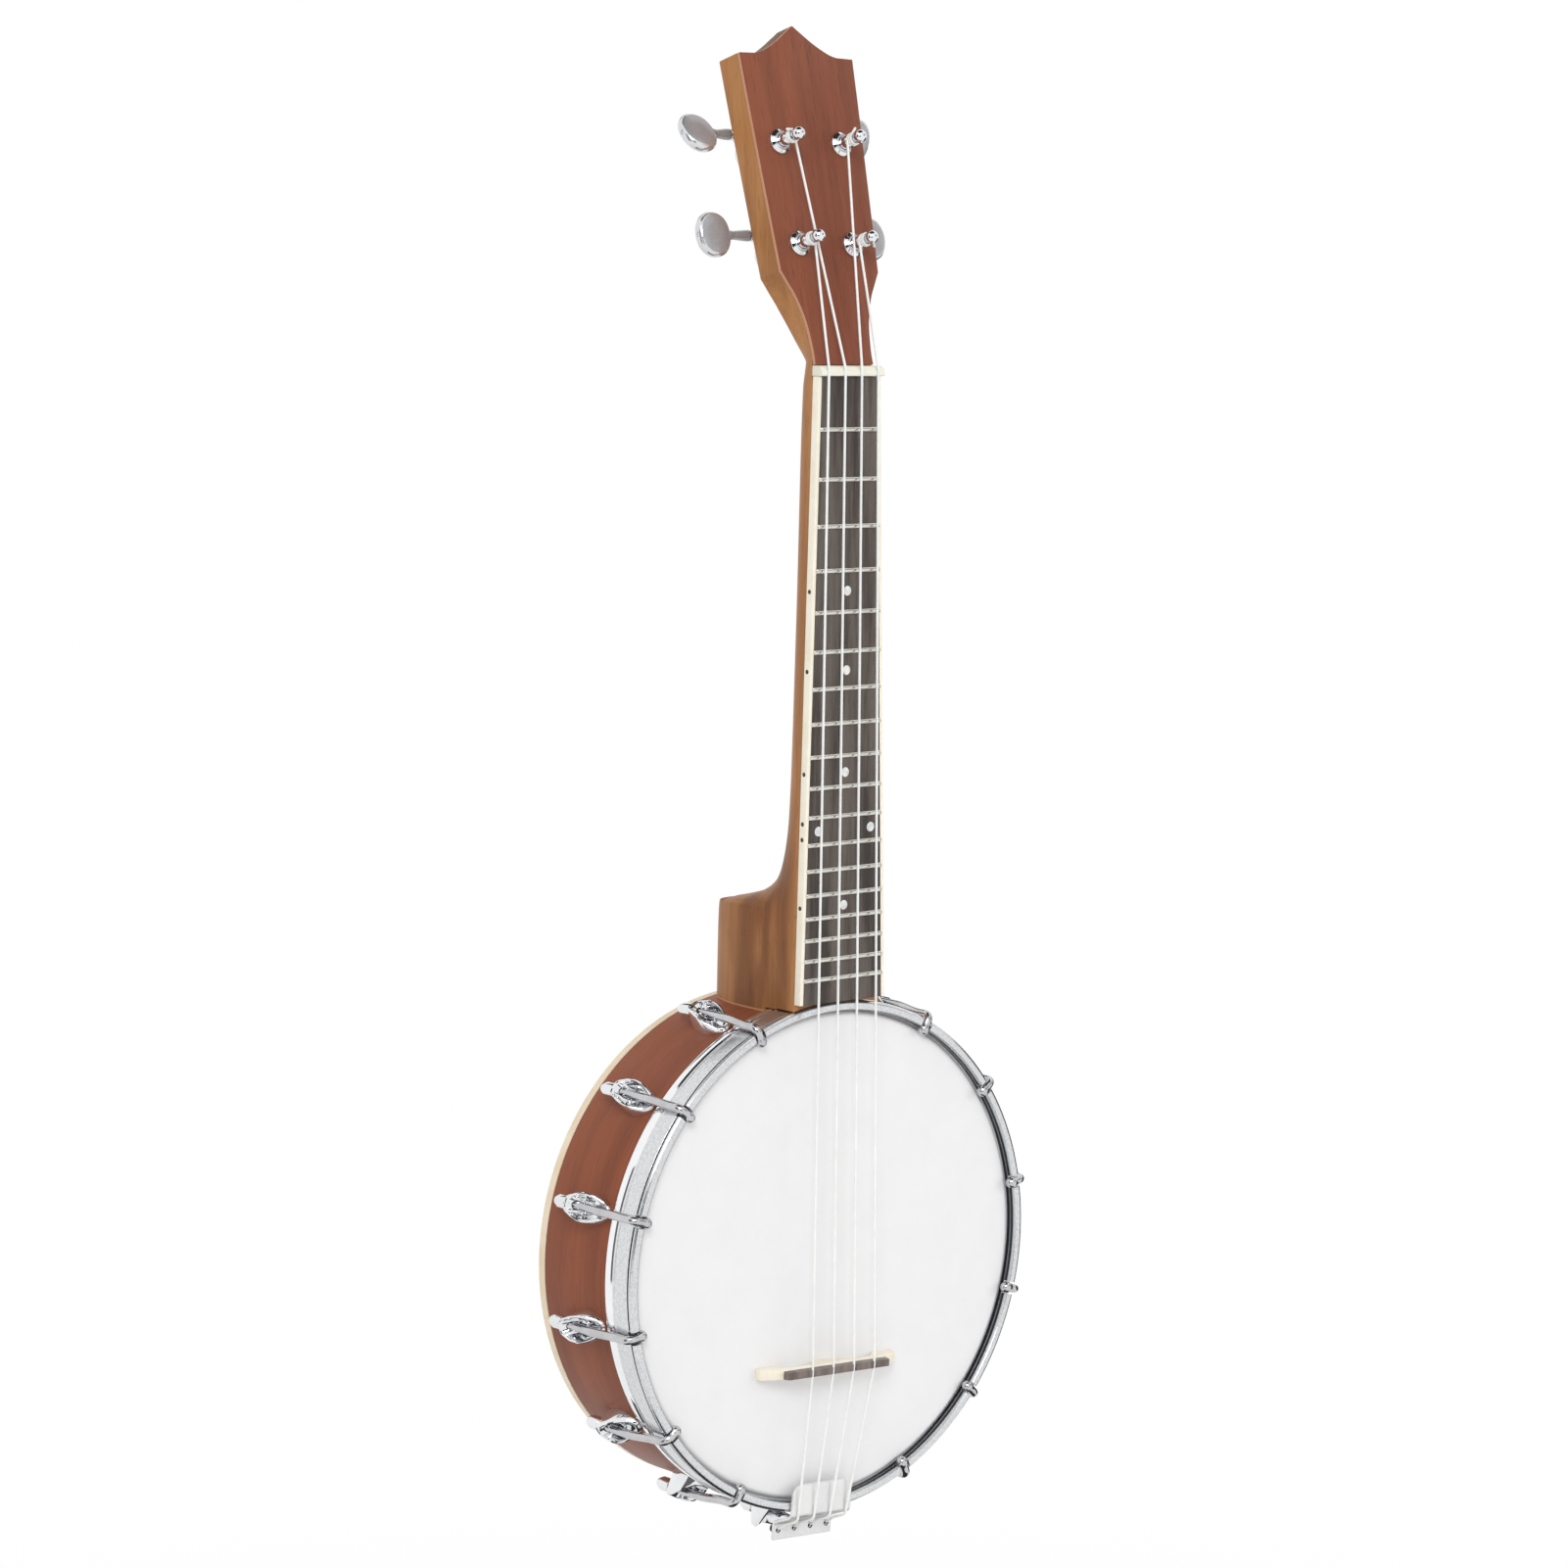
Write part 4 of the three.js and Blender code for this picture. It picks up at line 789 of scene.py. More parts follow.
def shoeShape(top):
    ringPoints = shoeOutline()
    middle, low = shoe["front"] + shoe["length"] * 0.52, shoe["seat"]
    floor = shoe["floor"] - low
    loops = []
    for across, along, height, flat in shoe["levels"]:
        loop = []
        for p in ringPoints:
            x, y = p.x * across, middle + (p.y - middle) * along
            curved = math.sqrt(low * low - x * x) - low
            # the wall is low where the hook's rod comes in and full behind the bolt
            share = (y - shoe["front"]) / shoe["length"]
            wall = (top - low) * valueAt(shoe["lip"], share)
            rise = min(floor, wall * 0.6) if height is None else wall * height
            if across < 0.8:
                # the cup ends in a solid boss for the rod
                solid = ease((share - shoe["solidFrom"]) / (shoe["solidTo"] - shoe["solidFrom"]))
                rise = lerp(rise, wall * 0.97, solid)
            loop.append(Vector((x, y, low + rise + curved * (1 - flat))))
        loops.append(loop)
    points, faces = skin(loops, caps=False)
    count, base = len(ringPoints), len(points)
    points += [Vector((0, middle, low)), Vector((0, middle, low + floor))]
    last = (len(loops) - 1) * count
    for k in range(count):
        n = (k + 1) % count
        faces += [[base, k, n], [base + 1, last + k, last + n]]
    return points, faces


def boltShape():
    s = shoe
    top, foot, floor = s["nutTop"], s["nutTop"] - s["nutHeight"], s["floor"]
    shank = lathe([(0, top - 1.2), (s["bolt"], top - 1.2), (s["bolt"], floor - 0.2), (s["head"], floor + 0.02),
                   (s["head"], floor + 0.8), (1.6, floor + 1.25), (0, floor + 1.3)],
                  [0, 0.3, 0.1, 0.1, 0.3, 0.4, 0], 28, 3)
    nut = turned([(s["bolt"] + 0.05, foot), (s["nut"] - 0.4, foot), (s["nut"], foot + 0.4), (s["nut"], top),
                  (s["bolt"] + 0.05, top)], 6)
    return moved(joinShapes(shank, nut), shift(0, rim["boltDepth"], 0) @ spin(math.pi / 2, "X"))


# Shoe with its bolt, and what else it holds in its hole
def makeShoe(name, top, holeAt, station, node, *held):
    body = makeObject(name, shoeShape(top))
    hole = rod(shoe["rodHole"], shoe["front"] - 3, shoe["front"] + shoe["length"] + 3, 28)
    carve(body, shifted(hole, 0, 0, holeAt))
    for shape in held + (boltShape(),):
        addTo(body, makeObject("added", shape))
    setDown(body, potPlace @ stationTurn(station), chromePlating, "chrome_plating", node)


tailBracket = {"top": 121.6, "stud": 114.7, "headRadius": 3.1, "headFront": 14.8, "headBack": 16.4}


def makeTailBracket():
    t = tailBracket
    end = hook["nutBack"] - 0.6
    stud = lathe([(0, t["headFront"]), (t["headRadius"], t["headFront"]), (t["headRadius"], t["headBack"]),
                  (hook["rod"], t["headBack"]), (hook["rod"], end), (0, end)],
                 [0, 0.5, 0.4, 0.3, 0.3, 0], 28, 3)
    makeShoe("tailBracket", t["top"], t["stud"], tailStation, "tail_bracket",
             shifted(joinShapes(stud, nutShape()), 0, 0, t["stud"]))


hookNumber = 0
for station in range(1, layout["stations"]):
    if station == tailStation:
        makeTailBracket()
        continue
    hookNumber += 1
    makeHook(station, hookNumber)
    makeShoe("hookShoe%02d" % hookNumber, shoe["top"], hook["axis"], station, "hook_shoe_%02d" % hookNumber)
print("hooks and shoes ready")


# Tailpiece

tailpiece = {"thickness": 1.2, "tip": 94.4, "halfWidth": 16.1, "corner": 6.0, "flangeHalfWidth": 15.8,
             "plateDepth": 2.1, "bendRadius": 108.15, "flangeTop": 112.7, "flangeDepth": 13.55,
             "foot": 120.2, "holeRadius": 1.35, "holeAt": 116.1, "spacing": 8.8}


def makeTailpiece():
    t = tailpiece
    size = t["corner"]
    path = rounded([(t["tip"], t["plateDepth"], 0), (t["bendRadius"], t["plateDepth"], 0),
                    (t["flangeTop"], t["flangeDepth"], 0), (t["foot"], t["flangeDepth"], 0)],
                   [0, 1.6, 1.8, 0], 6)
    start = (path[1] - path[0]).normalized() * size
    path = [path[0] + start * (1 - math.cos(math.pi / 2 * k / 7)) for k in range(8)] + path[1:]
    loops = []
    for k, p in enumerate(path):
        along = (path[min(k + 1, len(path) - 1)] - path[max(k - 1, 0)]).normalized()
        normal = Vector((-along.y, along.x, 0)) * t["thickness"] / 2
        run = p.x - t["tip"]
        if run < size:
            half = t["halfWidth"] - size + math.sqrt(max(size ** 2 - (size - run) ** 2, 0))
        else:
            half = lerp(t["halfWidth"], t["flangeHalfWidth"], ease((p.y - t["plateDepth"]) / 10))
        front, rear = p - normal, p + normal
        corners = (-half, front), (half, front), (half, rear), (-half, rear)
        loops.append([Vector((x, q.y, -q.x)) for x, q in corners])
    thing = makeObject("tailpiece", skin(loops))
    soften(thing, 0.28, 3, 50)
    hole = rod(t["holeRadius"], 8, 20, 24)
    carve(thing, *[shifted(hole, stringX(k, t["spacing"]), 0, -t["holeAt"])
                   for k in range(layout["strings"])])
    setDown(thing, modelPlace @ tailTurned, sheetPlating, "chrome_plating", "tailpiece", sharp=40)


makeTailpiece()
print("tailpiece ready")


# Neck, fretboard and nut

# Machines: place on the headstock, turns of string and the rest angle of the knob
posts = [
    {"side": -1, "x": -14.2, "run": 50.2, "turns": 2.0, "knob": 0.0},
    {"side": -1, "x": -16.4, "run": 92.4, "turns": 2.25, "knob": 0.45},
    {"side": 1, "x": 16.4, "run": 92.4, "turns": 2.1, "knob": 0.45},
    {"side": 1, "x": 14.2, "run": 50.2, "turns": 2.5, "knob": 0.0},
]
neck = {
    "under": 3.9, "rimRadius": 105.3, "depthAtNut": 15.6, "heelDepth": 61.0, "steps": 26, "end": 360.5,
    "runs": [-0.04, 0.135, 0.149, 0.158, 0.166, 0.178, 0.2, 0.235, 0.28, 0.33, 0.42, 0.66, 0.91, 1.03],
    "depths": [1, 1, 0.95, 0.84, 0.66, 0.44, 0.26, 0.14, 0.068, 0.036, 0.018, 0, 0, -0.03],
    "squareness": [4.5, 4.5, 4.3, 3.8, 3, 2.5] + [2.2] * 8,
    "boardWidthAtEnd": 45.8, "boardWidthAtNut": 33.2,
    # radius, front and back of what is cut away for hoop, bead and rim
    "cuts": [(107.55, -2, 15.4), (107.15, 15.0, 22.3), (105.25, 22.0, 72)], "rodBore": 3.2, "boreEnd": 129.5,
}
headstock = {
    "length": 141.5, "halfWidth": 30.2, "thickness": 15.0, "woodFront": 1.7, "veneer": 1.68, "start": 2.5,
    "blend": 32.0, "roundness": 2.3, "squareness": 15.0, "backNarrowing": 0.8, "holeRadius": 4.25,
    "crownThin": 5.5, "crownStart": 0.915,
    # share of the length, share of the half width, and steps from point to point
    "throat": ([0, 0.045, 0.125, 0.195, 0.24, 0.275], [0.516, 0.513, 0.555, 0.658, 0.77, 0.862], 6),
    "sides": ([0.275, 0.43, 0.74, 0.912], [0.862, 0.899, 0.968, 1], 6),
    "crown": ([0.9135, 0.92, 0.935, 0.952, 0.966, 0.98, 0.992, 1.0],
              [0.72, 0.60, 0.455, 0.32, 0.225, 0.137, 0.06, 0.012], 3),
}


def boardHalf(z):
    share = (z - layout["boardEnd"]) / (layout["nutAbovePot"] - layout["boardEnd"])
    return lerp(neck["boardWidthAtEnd"], neck["boardWidthAtNut"], share) / 2


# Half oval with a flat front, squarer with a higher power
def halfSection(half, top, depth, power, narrowing=1.0):
    loop, steps = [], neck["steps"]
    for k in range(steps + 1):
        angle = math.pi * k / steps
        across = 0.0 if 2 * k == steps else math.cos(angle)
        rise = 0.0 if k in (0, steps) else math.sin(angle) ** (2 / power)
        x = half * math.copysign(abs(across) ** (2 / power), across)
        loop.append((x * lerp(1, narrowing, rise), top + depth * rise))
    return loop


def headOutline():
    h, made = headstock, []
    for runs, widths, steps in (h["throat"], h["sides"], h["crown"]):
        for p in curveThrough([Vector(row) for row in zip(runs, widths)], steps):
            if not made or p.x * h["length"] > made[-1][0] + 1e-4:
                made.append((p.x * h["length"], p.y * h["halfWidth"]))
    return made


def postHoles(depth):
    hole = rod(headstock["holeRadius"], -3, depth, 28)
    return [shifted(hole, p["x"], 0, p["run"]) for p in posts]


def makeNeck():
    n, h = neck, headstock
    run = layout["nutAbovePot"] - n["rimRadius"]
    loops = []
    for row in curveThrough([Vector(row) for row in zip(n["runs"], n["depths"], n["squareness"])], 6):
        z = n["rimRadius"] + run * row.x
        if z > n["end"]:
            break
        depth = lerp(n["depthAtNut"], n["heelDepth"], row.y)
        loops.append([Vector((x, y, z)) for x, y in halfSection(boardHalf(z), n["under"], depth, row.z)])
    for s, half in headOutline():
        if s < h["start"]:
            continue
        blend = ease(s / h["blend"])
        power = lerp(h["roundness"], h["squareness"], blend ** 1.4)
        thin = h["crownThin"] * max(s / h["length"] - h["crownStart"], 0) / (1 - h["crownStart"])
        section = halfSection(half, h["woodFront"], h["thickness"] - h["woodFront"] - thin, power,
                              lerp(h["backNarrowing"], 1, blend))
        loops.append([headLocal @ Vector((x, y, s)) for x, y in section])
    thing = makeObject("neck", skin(loops))
    for radius, low, high in n["cuts"]:
        carve(thing, moved(rod(radius, low, high, layout["ringSides"]), potTurned))
    bore = shifted(rodAlongZ(n["rodBore"], 0, n["boreEnd"], 24), 0, rim["rodDepth"], 0)
    carve(thing, *[moved(hole, headLocal) for hole in postHoles(20)], bore)
    setDown(thing, modelPlace, neckWood, "neck_wood", "neck", sharp=24)


def makeVeneer():
    side = [(half, max(s, 0.3)) for s, half in headOutline()]
    thing = makeObject("headstockVeneer", slab(mirrored(side), 0, headstock["veneer"]))
    soften(thing, 0.22, 2, 60)
    carve(thing, *postHoles(5))
    setDown(thing, headPlace, veneerWood, "veneer_wood", "headstock_veneer", sharp=35)


board = {"thickness": 3.86, "binding": 1.8, "seam": 0.02, "frets": 18, "fretWidth": 2.1, "fretHeight": 0.9,
         "fretEnd": 1.55, "endDrops": [(0, 0.45), (0.35, 0.1), (0.7, 0)],
         "dots": [(5, 0), (7, 0), (10, 0), (12, -14.1), (12, 14.1), (15, 0)], "dotRadius": 2.0,
         "dotRuns": {5: 276.9, 7: 244.5, 10: 202.7, 12: 179.2, 15: 147.9}, "sideDot": 0.95, "pairHalf": 3.2}


# Strip of the board from one distance inside its edge to another, for one side
def boardOutline(first, second):
    ends = [(boardHalf(z), z) for z in (layout["boardEnd"], layout["nutAbovePot"])]
    return [(first(half), z) for half, z in ends] + [(second(half), z) for half, z in reversed(ends)]


def makeFretboard():
    b = board
    inset = b["binding"] + b["seam"]
    thing = makeObject("fretboard", slab(boardOutline(lambda half: half - inset, lambda half: -half + inset),
                                         0, b["thickness"]))
    pocket = rod(b["dotRadius"] + b["seam"], -1, 0.6, 32)
    size = b["dotRadius"]
    dot = lathe([(0, -0.03), (size, -0.03), (size, 0.58), (0, 0.58)], [0, 0.08, 0.02, 0], 36, 2)
    carve(thing, *[shifted(pocket, x, 0, b["dotRuns"][fret]) for fret, x in b["dots"]])
    setDown(thing, modelPlace, boardWood, "board_wood", "fretboard")
    dots = joinShapes(*[shifted(dot, x, 0, b["dotRuns"][fret]) for fret, x in b["dots"]])
    setDown(makeObject("pearlDots", dots), modelPlace, pearlDot, "board_wood", "fretboard")
    wires = []
    for number in range(1, b["frets"] + 1):
        z = layout["nutAbovePot"] - layout["scaleLength"] * (1 - 2 ** (-number / 12))
        half = boardHalf(z) - b["fretEnd"]
        ends = [(-half + inward, drop) for inward, drop in b["endDrops"]]
        loops = []
        for x, drop in ends + [(-x, drop) for x, drop in reversed(ends)]:
            loop = [Vector((x, 0.4, z + b["fretWidth"] * 0.3)), Vector((x, 0.4, z - b["fretWidth"] * 0.3))]
            for k in range(11):
                turn = math.pi * k / 10
                loop.append(Vector((x, -(b["fretHeight"] - drop * b["fretHeight"]) * math.sin(turn) - 0.01,
                                    z - b["fretWidth"] / 2 * math.cos(turn))))
            loops.append(loop)
        wires.append(skin(loops))
    setDown(makeObject("fretWires", joinShapes(*wires)), modelPlace, fretSilver, "board_wood", "fretboard")
    for side, name in ((-1, "left"), (1, "right")):
        outline = boardOutline(lambda half: side * (half - b["binding"]), lambda half: side * half)
        shape = slab(outline[:1] + outline[:0:-1], 0, b["thickness"])
        strip = makeObject("boardBinding" + name.capitalize(), shape)
        soften(strip, 0.3, 3)
        setDown(strip, modelPlace, creamBinding, "cream_binding", "board_binding_" + name)
    marks = []
    for fret, run in b["dotRuns"].items():
        for z in ((run - b["pairHalf"], run + b["pairHalf"]) if fret == 12 else (run,)):
            mark = rodAlongX(b["sideDot"], -0.5, 0.03, 20)
            marks.append(moved(mark, shift(-boardHalf(z), b["thickness"] / 2, z) @ spin(math.pi, "Y")))
    setDown(makeObject("sideDots", joinShapes(*marks)), modelPlace, inkDotAndHoleShade, "cream_binding",
            "board_binding_left")


nut = {"low": 363.75, "thickness": 4.2, "halfWidth": 16.9, "front": -2.25, "back": 3.88, "slotFloor": -1.6,
       "slotWidth": 1.25, "spacing": 8.8, "ends": [(1, 0.35), (0.985, 0.1), (0.965, 0)]}


def makeNut():
    n = nut
    low, high = n["low"], n["low"] + n["thickness"]
    section = rounded([(low, n["back"], 0), (low, n["front"] + 0.2, 0), (low + 1.6, n["front"], 0),
                       (high, n["front"] + 1.2, 0), (high, n["back"], 0)], [0.2, 0.7, 1.4, 1.0, 0.2], 5, True)
    middle = Vector(((low + high) / 2, (n["front"] + n["back"]) / 2, 0))
    loops = []
    for x, shrink in [(-x, shrink) for x, shrink in n["ends"]] + n["ends"][::-1]:
        loops.append([Vector((x * n["halfWidth"], p.y + (middle.y - p.y) * shrink * 0.12,
                              p.x + (middle.x - p.x) * shrink * 0.2)) for p in section])
    thing = makeObject("nut", skin(loops))
    half, floor = n["slotWidth"] / 2, n["slotFloor"]
    for k in range(layout["strings"]):
        x = stringX(k, n["spacing"])
        carve(thing, shifted(rodAlongZ(half, low - 2, high + 2, 20), x, floor, 0))
        carve(thing, block((x - half, n["front"] - 2, low - 2), (x + half, floor, high + 2)))
    setDown(thing, modelPlace, nutCream, "nut_plastic", "nut", sharp=40)


for make in (makeNeck, makeVeneer, makeFretboard, makeNut):
    make()
print("neck ready")


# Bridge

bridge = {"below": 46.15, "top": -4.2, "stripBack": -0.5, "foot": 6.72, "archTop": 4.05, "archMiddle": 2.7,
          "halfTop": 27.85, "halfFoot": 37.0, "topThickness": 2.9, "footThickness": 4.8,
          "arch": [5.9, 9.6, 16.3, 22.9, 26.6], "wing": [(34.2, 1.7), (31.2, 0.1)], "spacing": 11.3,
          "slotWidth": 1.25, "slotFloor": -3.0, "crossing": -3.64}


# Where a string crosses the bridge: straight below the neck, on the turned pot
def bridgeX(number):
    turn = math.radians(layout["potTurn"])
    return (stringX(number, bridge["spacing"]) + bridge["below"] * math.sin(turn)) / math.cos(turn)


def bridgeBlock(outline):
    b = bridge
    half = [lerp(b["topThickness"], b["footThickness"], (y - b["top"]) / (b["foot"] - b["top"])) / 2
            for x, y in outline]
    return skin([[Vector((x, y, side * wide - b["below"])) for (x, y), wide in zip(outline, half)]
                 for side in (-1, 1)])


def makeBridge():
    b = bridge
    a, foot, top, middle = b["arch"], b["foot"], b["archTop"], b["archMiddle"]
    arch = [(a[0], foot), (a[1] - 1.2, top + 0.5), (a[1] + 1, middle + 0.6), (a[2], middle),
            (a[3] - 1, middle + 0.6), (a[3] + 1.2, top + 0.5), (a[4], foot)]
    wing = [(b["halfFoot"], top - 0.3)] + b["wing"] + [(b["halfTop"] + 0.4, b["stripBack"])]
    arch, wing = [[(p.x, p.y) for p in curveThrough([Vector(q) for q in row], 4)] for row in (arch, wing)]
    side = arch + [(b["halfFoot"], foot)] + wing
    maple = makeObject("bridgeBody", bridgeBlock(mirrored(side)))
    soften(maple, 0.3, 2, 40)
    setDown(maple, potPlace, bridgeMaple, "bridge_wood", "bridge", sharp=35)
    half = b["halfTop"]
    side = [(half, b["stripBack"] - 0.02), (half, b["top"] + 1.2), (half - 0.8, b["top"])]
    strip = makeObject("bridgeStrip", bridgeBlock(mirrored(side)))
    soften(strip, 0.3, 3, 30)
    width = b["slotWidth"] / 2
    carve(strip, *[block((x - width, b["top"] - 2, -b["below"] - 6), (x + width, b["slotFloor"], -b["below"] + 6))
                   for x in map(bridgeX, range(layout["strings"]))])
    setDown(strip, potPlace, bridgeEbony, "bridge_wood", "bridge")


makeBridge()
print("bridge ready")


# Strings

strings = {"radius": 0.54, "sides": 10, "winding": 2.35, "pitch": 1.1, "exit": 7.1, "tail": 3.2, "perTurn": 36,
           "atNut": -2.2, "nutHigh": 366.95, "nutLow": 364.85,
           # depth and distance from the pot's middle, over the tailpiece and through its hole
           "tailPath": [(0.7, 106.1), (1.1, 109.1), (2.7, 110.4), (9.1, 112.9), (11.5, 115.3), (17.4, 115.3)],
           "bends": [0, 0.8, 1.2, 2, 1.2, 1.2, 2, 1.6, 0], "knotBar": 0.42, "knotBack": 1.9,
           "knotRing": 0.651, "knotSwing": 0.3, "knotRise": 0.55, "ballDepth": 15.7,
           "ball": [(0, -1.5), (1.0, -1.4), (1.5, -1.1), (1.7, -0.6), (1.7, 0.6), (1.5, 1.1), (1.0, 1.4),
                    (0, 1.5)]}


# From the winding on the post to the nut, on the headstock, and then down to the tailpiece
def stringRoute(number):
    s, p = strings, posts[number]
    nutHigh, nutLow = [Vector((stringX(number, nut["spacing"]), s["atNut"], z))
                       for z in (s["nutHigh"], s["nutLow"])]
    slot = headLocal.inverted() @ nutHigh
    reach = Vector((slot.x - p["x"], slot.z - p["run"]))
    leave = math.atan2(reach.y, reach.x) - p["side"] * math.acos(s["winding"] / reach.length)
    steps = round(p["turns"] * s["perTurn"])
    winding = []
    for k in range(steps + 1):
        angle = leave + p["side"] * 2 * math.pi * (k - steps) / s["perTurn"]
        lift = s["exit"] + s["pitch"] * (steps - k) / s["perTurn"]
        winding.append(Vector((p["x"] + s["winding"] * math.cos(angle), -lift,
                               p["run"] + s["winding"] * math.sin(angle))))
    start = winding[0] + (winding[0] - winding[1]).normalized() * s["tail"]
    onHead = [headLocal @ q for q in [start] + winding]
    crossing = potTurned @ Vector((bridgeX(number), bridge["crossing"], -bridge["below"]))
    x = stringX(number, tailpiece["spacing"])
    tail = [tailTurned @ Vector((x, depth, -radius)) for depth, radius in s["tailPath"]]
    return onHead + rounded([nutHigh, nutLow, crossing] + tail, s["bends"], 4), tail[-1]


# Simple knot: two turns round, rising and falling three times
def knotShape(centre):
    s, points = strings, []
    for k in range(41):
        turn = 4 * math.pi * k / 40
        size = s["knotRing"] + s["knotSwing"] * math.cos(1.5 * turn)
        points.append(centre + potTurned @ Vector((size * math.cos(turn), s["knotRise"] * math.sin(1.5 * turn),
                                                    size * math.sin(turn))))
    return tube(points, s["knotBar"], 8, (True, True))


for number in range(layout["strings"]):
    route, end = stringRoute(number)
    line = tube(route, strings["radius"], strings["sides"], (True, True))
    knot = knotShape(end - Vector((0, strings["knotBack"], 0)))
    thing = makeObject("string%d" % (number + 1), joinShapes(line, knot))
    setDown(thing, modelPlace, whiteNylon, "nylon", "string_%d" % (number + 1), sharp=60)

# Ball ends hold the strings behind the tailpiece; their dark colour is painted shade that fills its holes
ball = turned(strings["ball"], 28)
balls = [shifted(ball, stringX(k, tailpiece["spacing"]), strings["ballDepth"], -tailpiece["holeAt"])
         for k in range(layout["strings"])]
setDown(makeObject("ballEndsHoleShade", joinShapes(*balls)), modelPlace @ tailTurned, inkDotAndHoleShade, "nylon",
        *["string_%d" % (k + 1) for k in range(layout["strings"])])
print("strings ready")


# Tuning machines

machine = {
    "post": 2.6, "ball": 2.8, "waist": 1.75, "postTip": -15.1, "waistTop": -10.2, "waistEnd": -6.6,
    "postEnd": 23.4, "holeDepth": -9.4, "hole": 0.6,
    "wheel": 5.4, "teeth": 14, "toothTurn": 0.6, "wheelDepth": 20.0, "wheelHalf": 1.2,
    # share of a tooth's step, and how far below the top of the teeth
    "toothShape": [(0.0, 0.9), (0.28, 0.9), (0.42, 0.1), (0.5, 0), (0.72, 0), (0.8, 0.1)],
    "bore": 2.75, "flange": 5.2, "collar": 3.7, "sleeve": 4.1, "sleeveEnd": 8.0,
    "keyDepth": 20.0, "keyRun": 8.4, "shaft": 1.6, "worm": 1.9, "wormThrow": 0.7,
    "wormHalf": 3.6, "wormTurns": 2, "wormSteps": 48,
    "knobAt": 41.7, "knobAcross": 8.1, "knobAlong": 9.3, "knobHalf": 2.2, "knobPower": 2.2,
    # share of the knob's outline and of its half thickness
    "rimLevels": [(0.3, -1), (0.87, -1), (0.93, -0.86), (0.985, -0.5), (1, -0.15), (1, 0.15), (0.985, 0.5),
                  (0.93, 0.86), (0.87, 1), (0.3, 1)],
    "faceLevels": [(0.3, -1.04), (0.83, -1.04), (0.85, -1), (0.85, 1), (0.83, 1.04), (0.3, 1.04)],
    "button": [(0, 0.75), (0.5, 0.68), (0.85, 0.45), (1.05, 0), (1.05, -1.5), (0, -1.5)],
    "plateHalf": 6.9, "plateLow": -6.9, "plateHigh": 13.0, "plateFront": 15.02, "plateThickness": 1.1,
    "cover": 5.9, "wall": 0.45, "barrel": 3.5, "barrelHalf": 5.3,
    "coverDome": [(5.9, 21.4), (5.6, 22.2), (4.6, 23.1), (3.6, 23.9), (2.6, 24.45), (0, 24.75)],
    "boss": 2.45, "bossEnd": 8.9, "lugHalf": 3.1, "lugReach": 3.9, "lugFoot": 1.2, "screwAt": 1.6,
    # radius and height over the plate
    "screw": [(0, 1.0), (0.6, 0.95), (1.2, 0.75), (1.65, 0.35), (1.8, 0), (0.9, 0), (0.9, -3), (0, -3)],
    "slotHalf": 0.28, "slotReach": 1.2, "slotFloor": 0.45,
}


def makePost(number, place):
    m = machine
    r, waist, end = m["post"], m["waist"], m["postEnd"]
    profile = domeOf(m["ball"], m["postTip"], 1, range(0, 131, 10)) + profileOf(
        [(waist, m["waistTop"]), (waist, m["waistEnd"]), (r, m["waistEnd"] + 1), (r, end), (0, end)],
        [0.3, 0.6, 0.6, 0.4, 0], 5, False)
    thing = makeObject("stringPost%d" % number, turned(profile, 40))
    hole = shifted(rodAlongX(m["hole"], -5, 5, 20), 0, m["holeDepth"], 0)
    carve(thing, moved(hole, spin(0.5 + number, "Y")))
    outline = []
    for k in range(m["teeth"]):
        for share, low in m["toothShape"]:
            angle = 2 * math.pi * (k + share - m["toothTurn"]) / m["teeth"]
            outline.append(((m["wheel"] - low) * math.cos(angle), (m["wheel"] - low) * math.sin(angle)))
    wheel = slab(outline, m["wheelDepth"] - m["wheelHalf"], m["wheelDepth"] + m["wheelHalf"])
    addTo(thing, makeObject("added", wheel))
    setDown(thing, place, chromePlating, "chrome_plating", "string_post_%d" % number, body="post_%d" % number)


# A domed washer with a small collar round the post
def makeBushing(number, place):
    m = machine
    thing = makeObject("postBushing%d" % number, lathe([
        (m["bore"], -2.4), (m["collar"], -2.4), (m["collar"] + 0.1, -2.0), (m["flange"], -1.0),
        (m["flange"], -0.01), (m["sleeve"], -0.01), (m["sleeve"], m["sleeveEnd"]), (m["bore"], m["sleeveEnd"])],
        [0.25, 0.3, 0.3, 0.9, 0.05, 0.1, 0.3, 0.1], 48, 6))
    setDown(thing, place, chromePlating, "chrome_plating", "post_bushing_%d" % number)


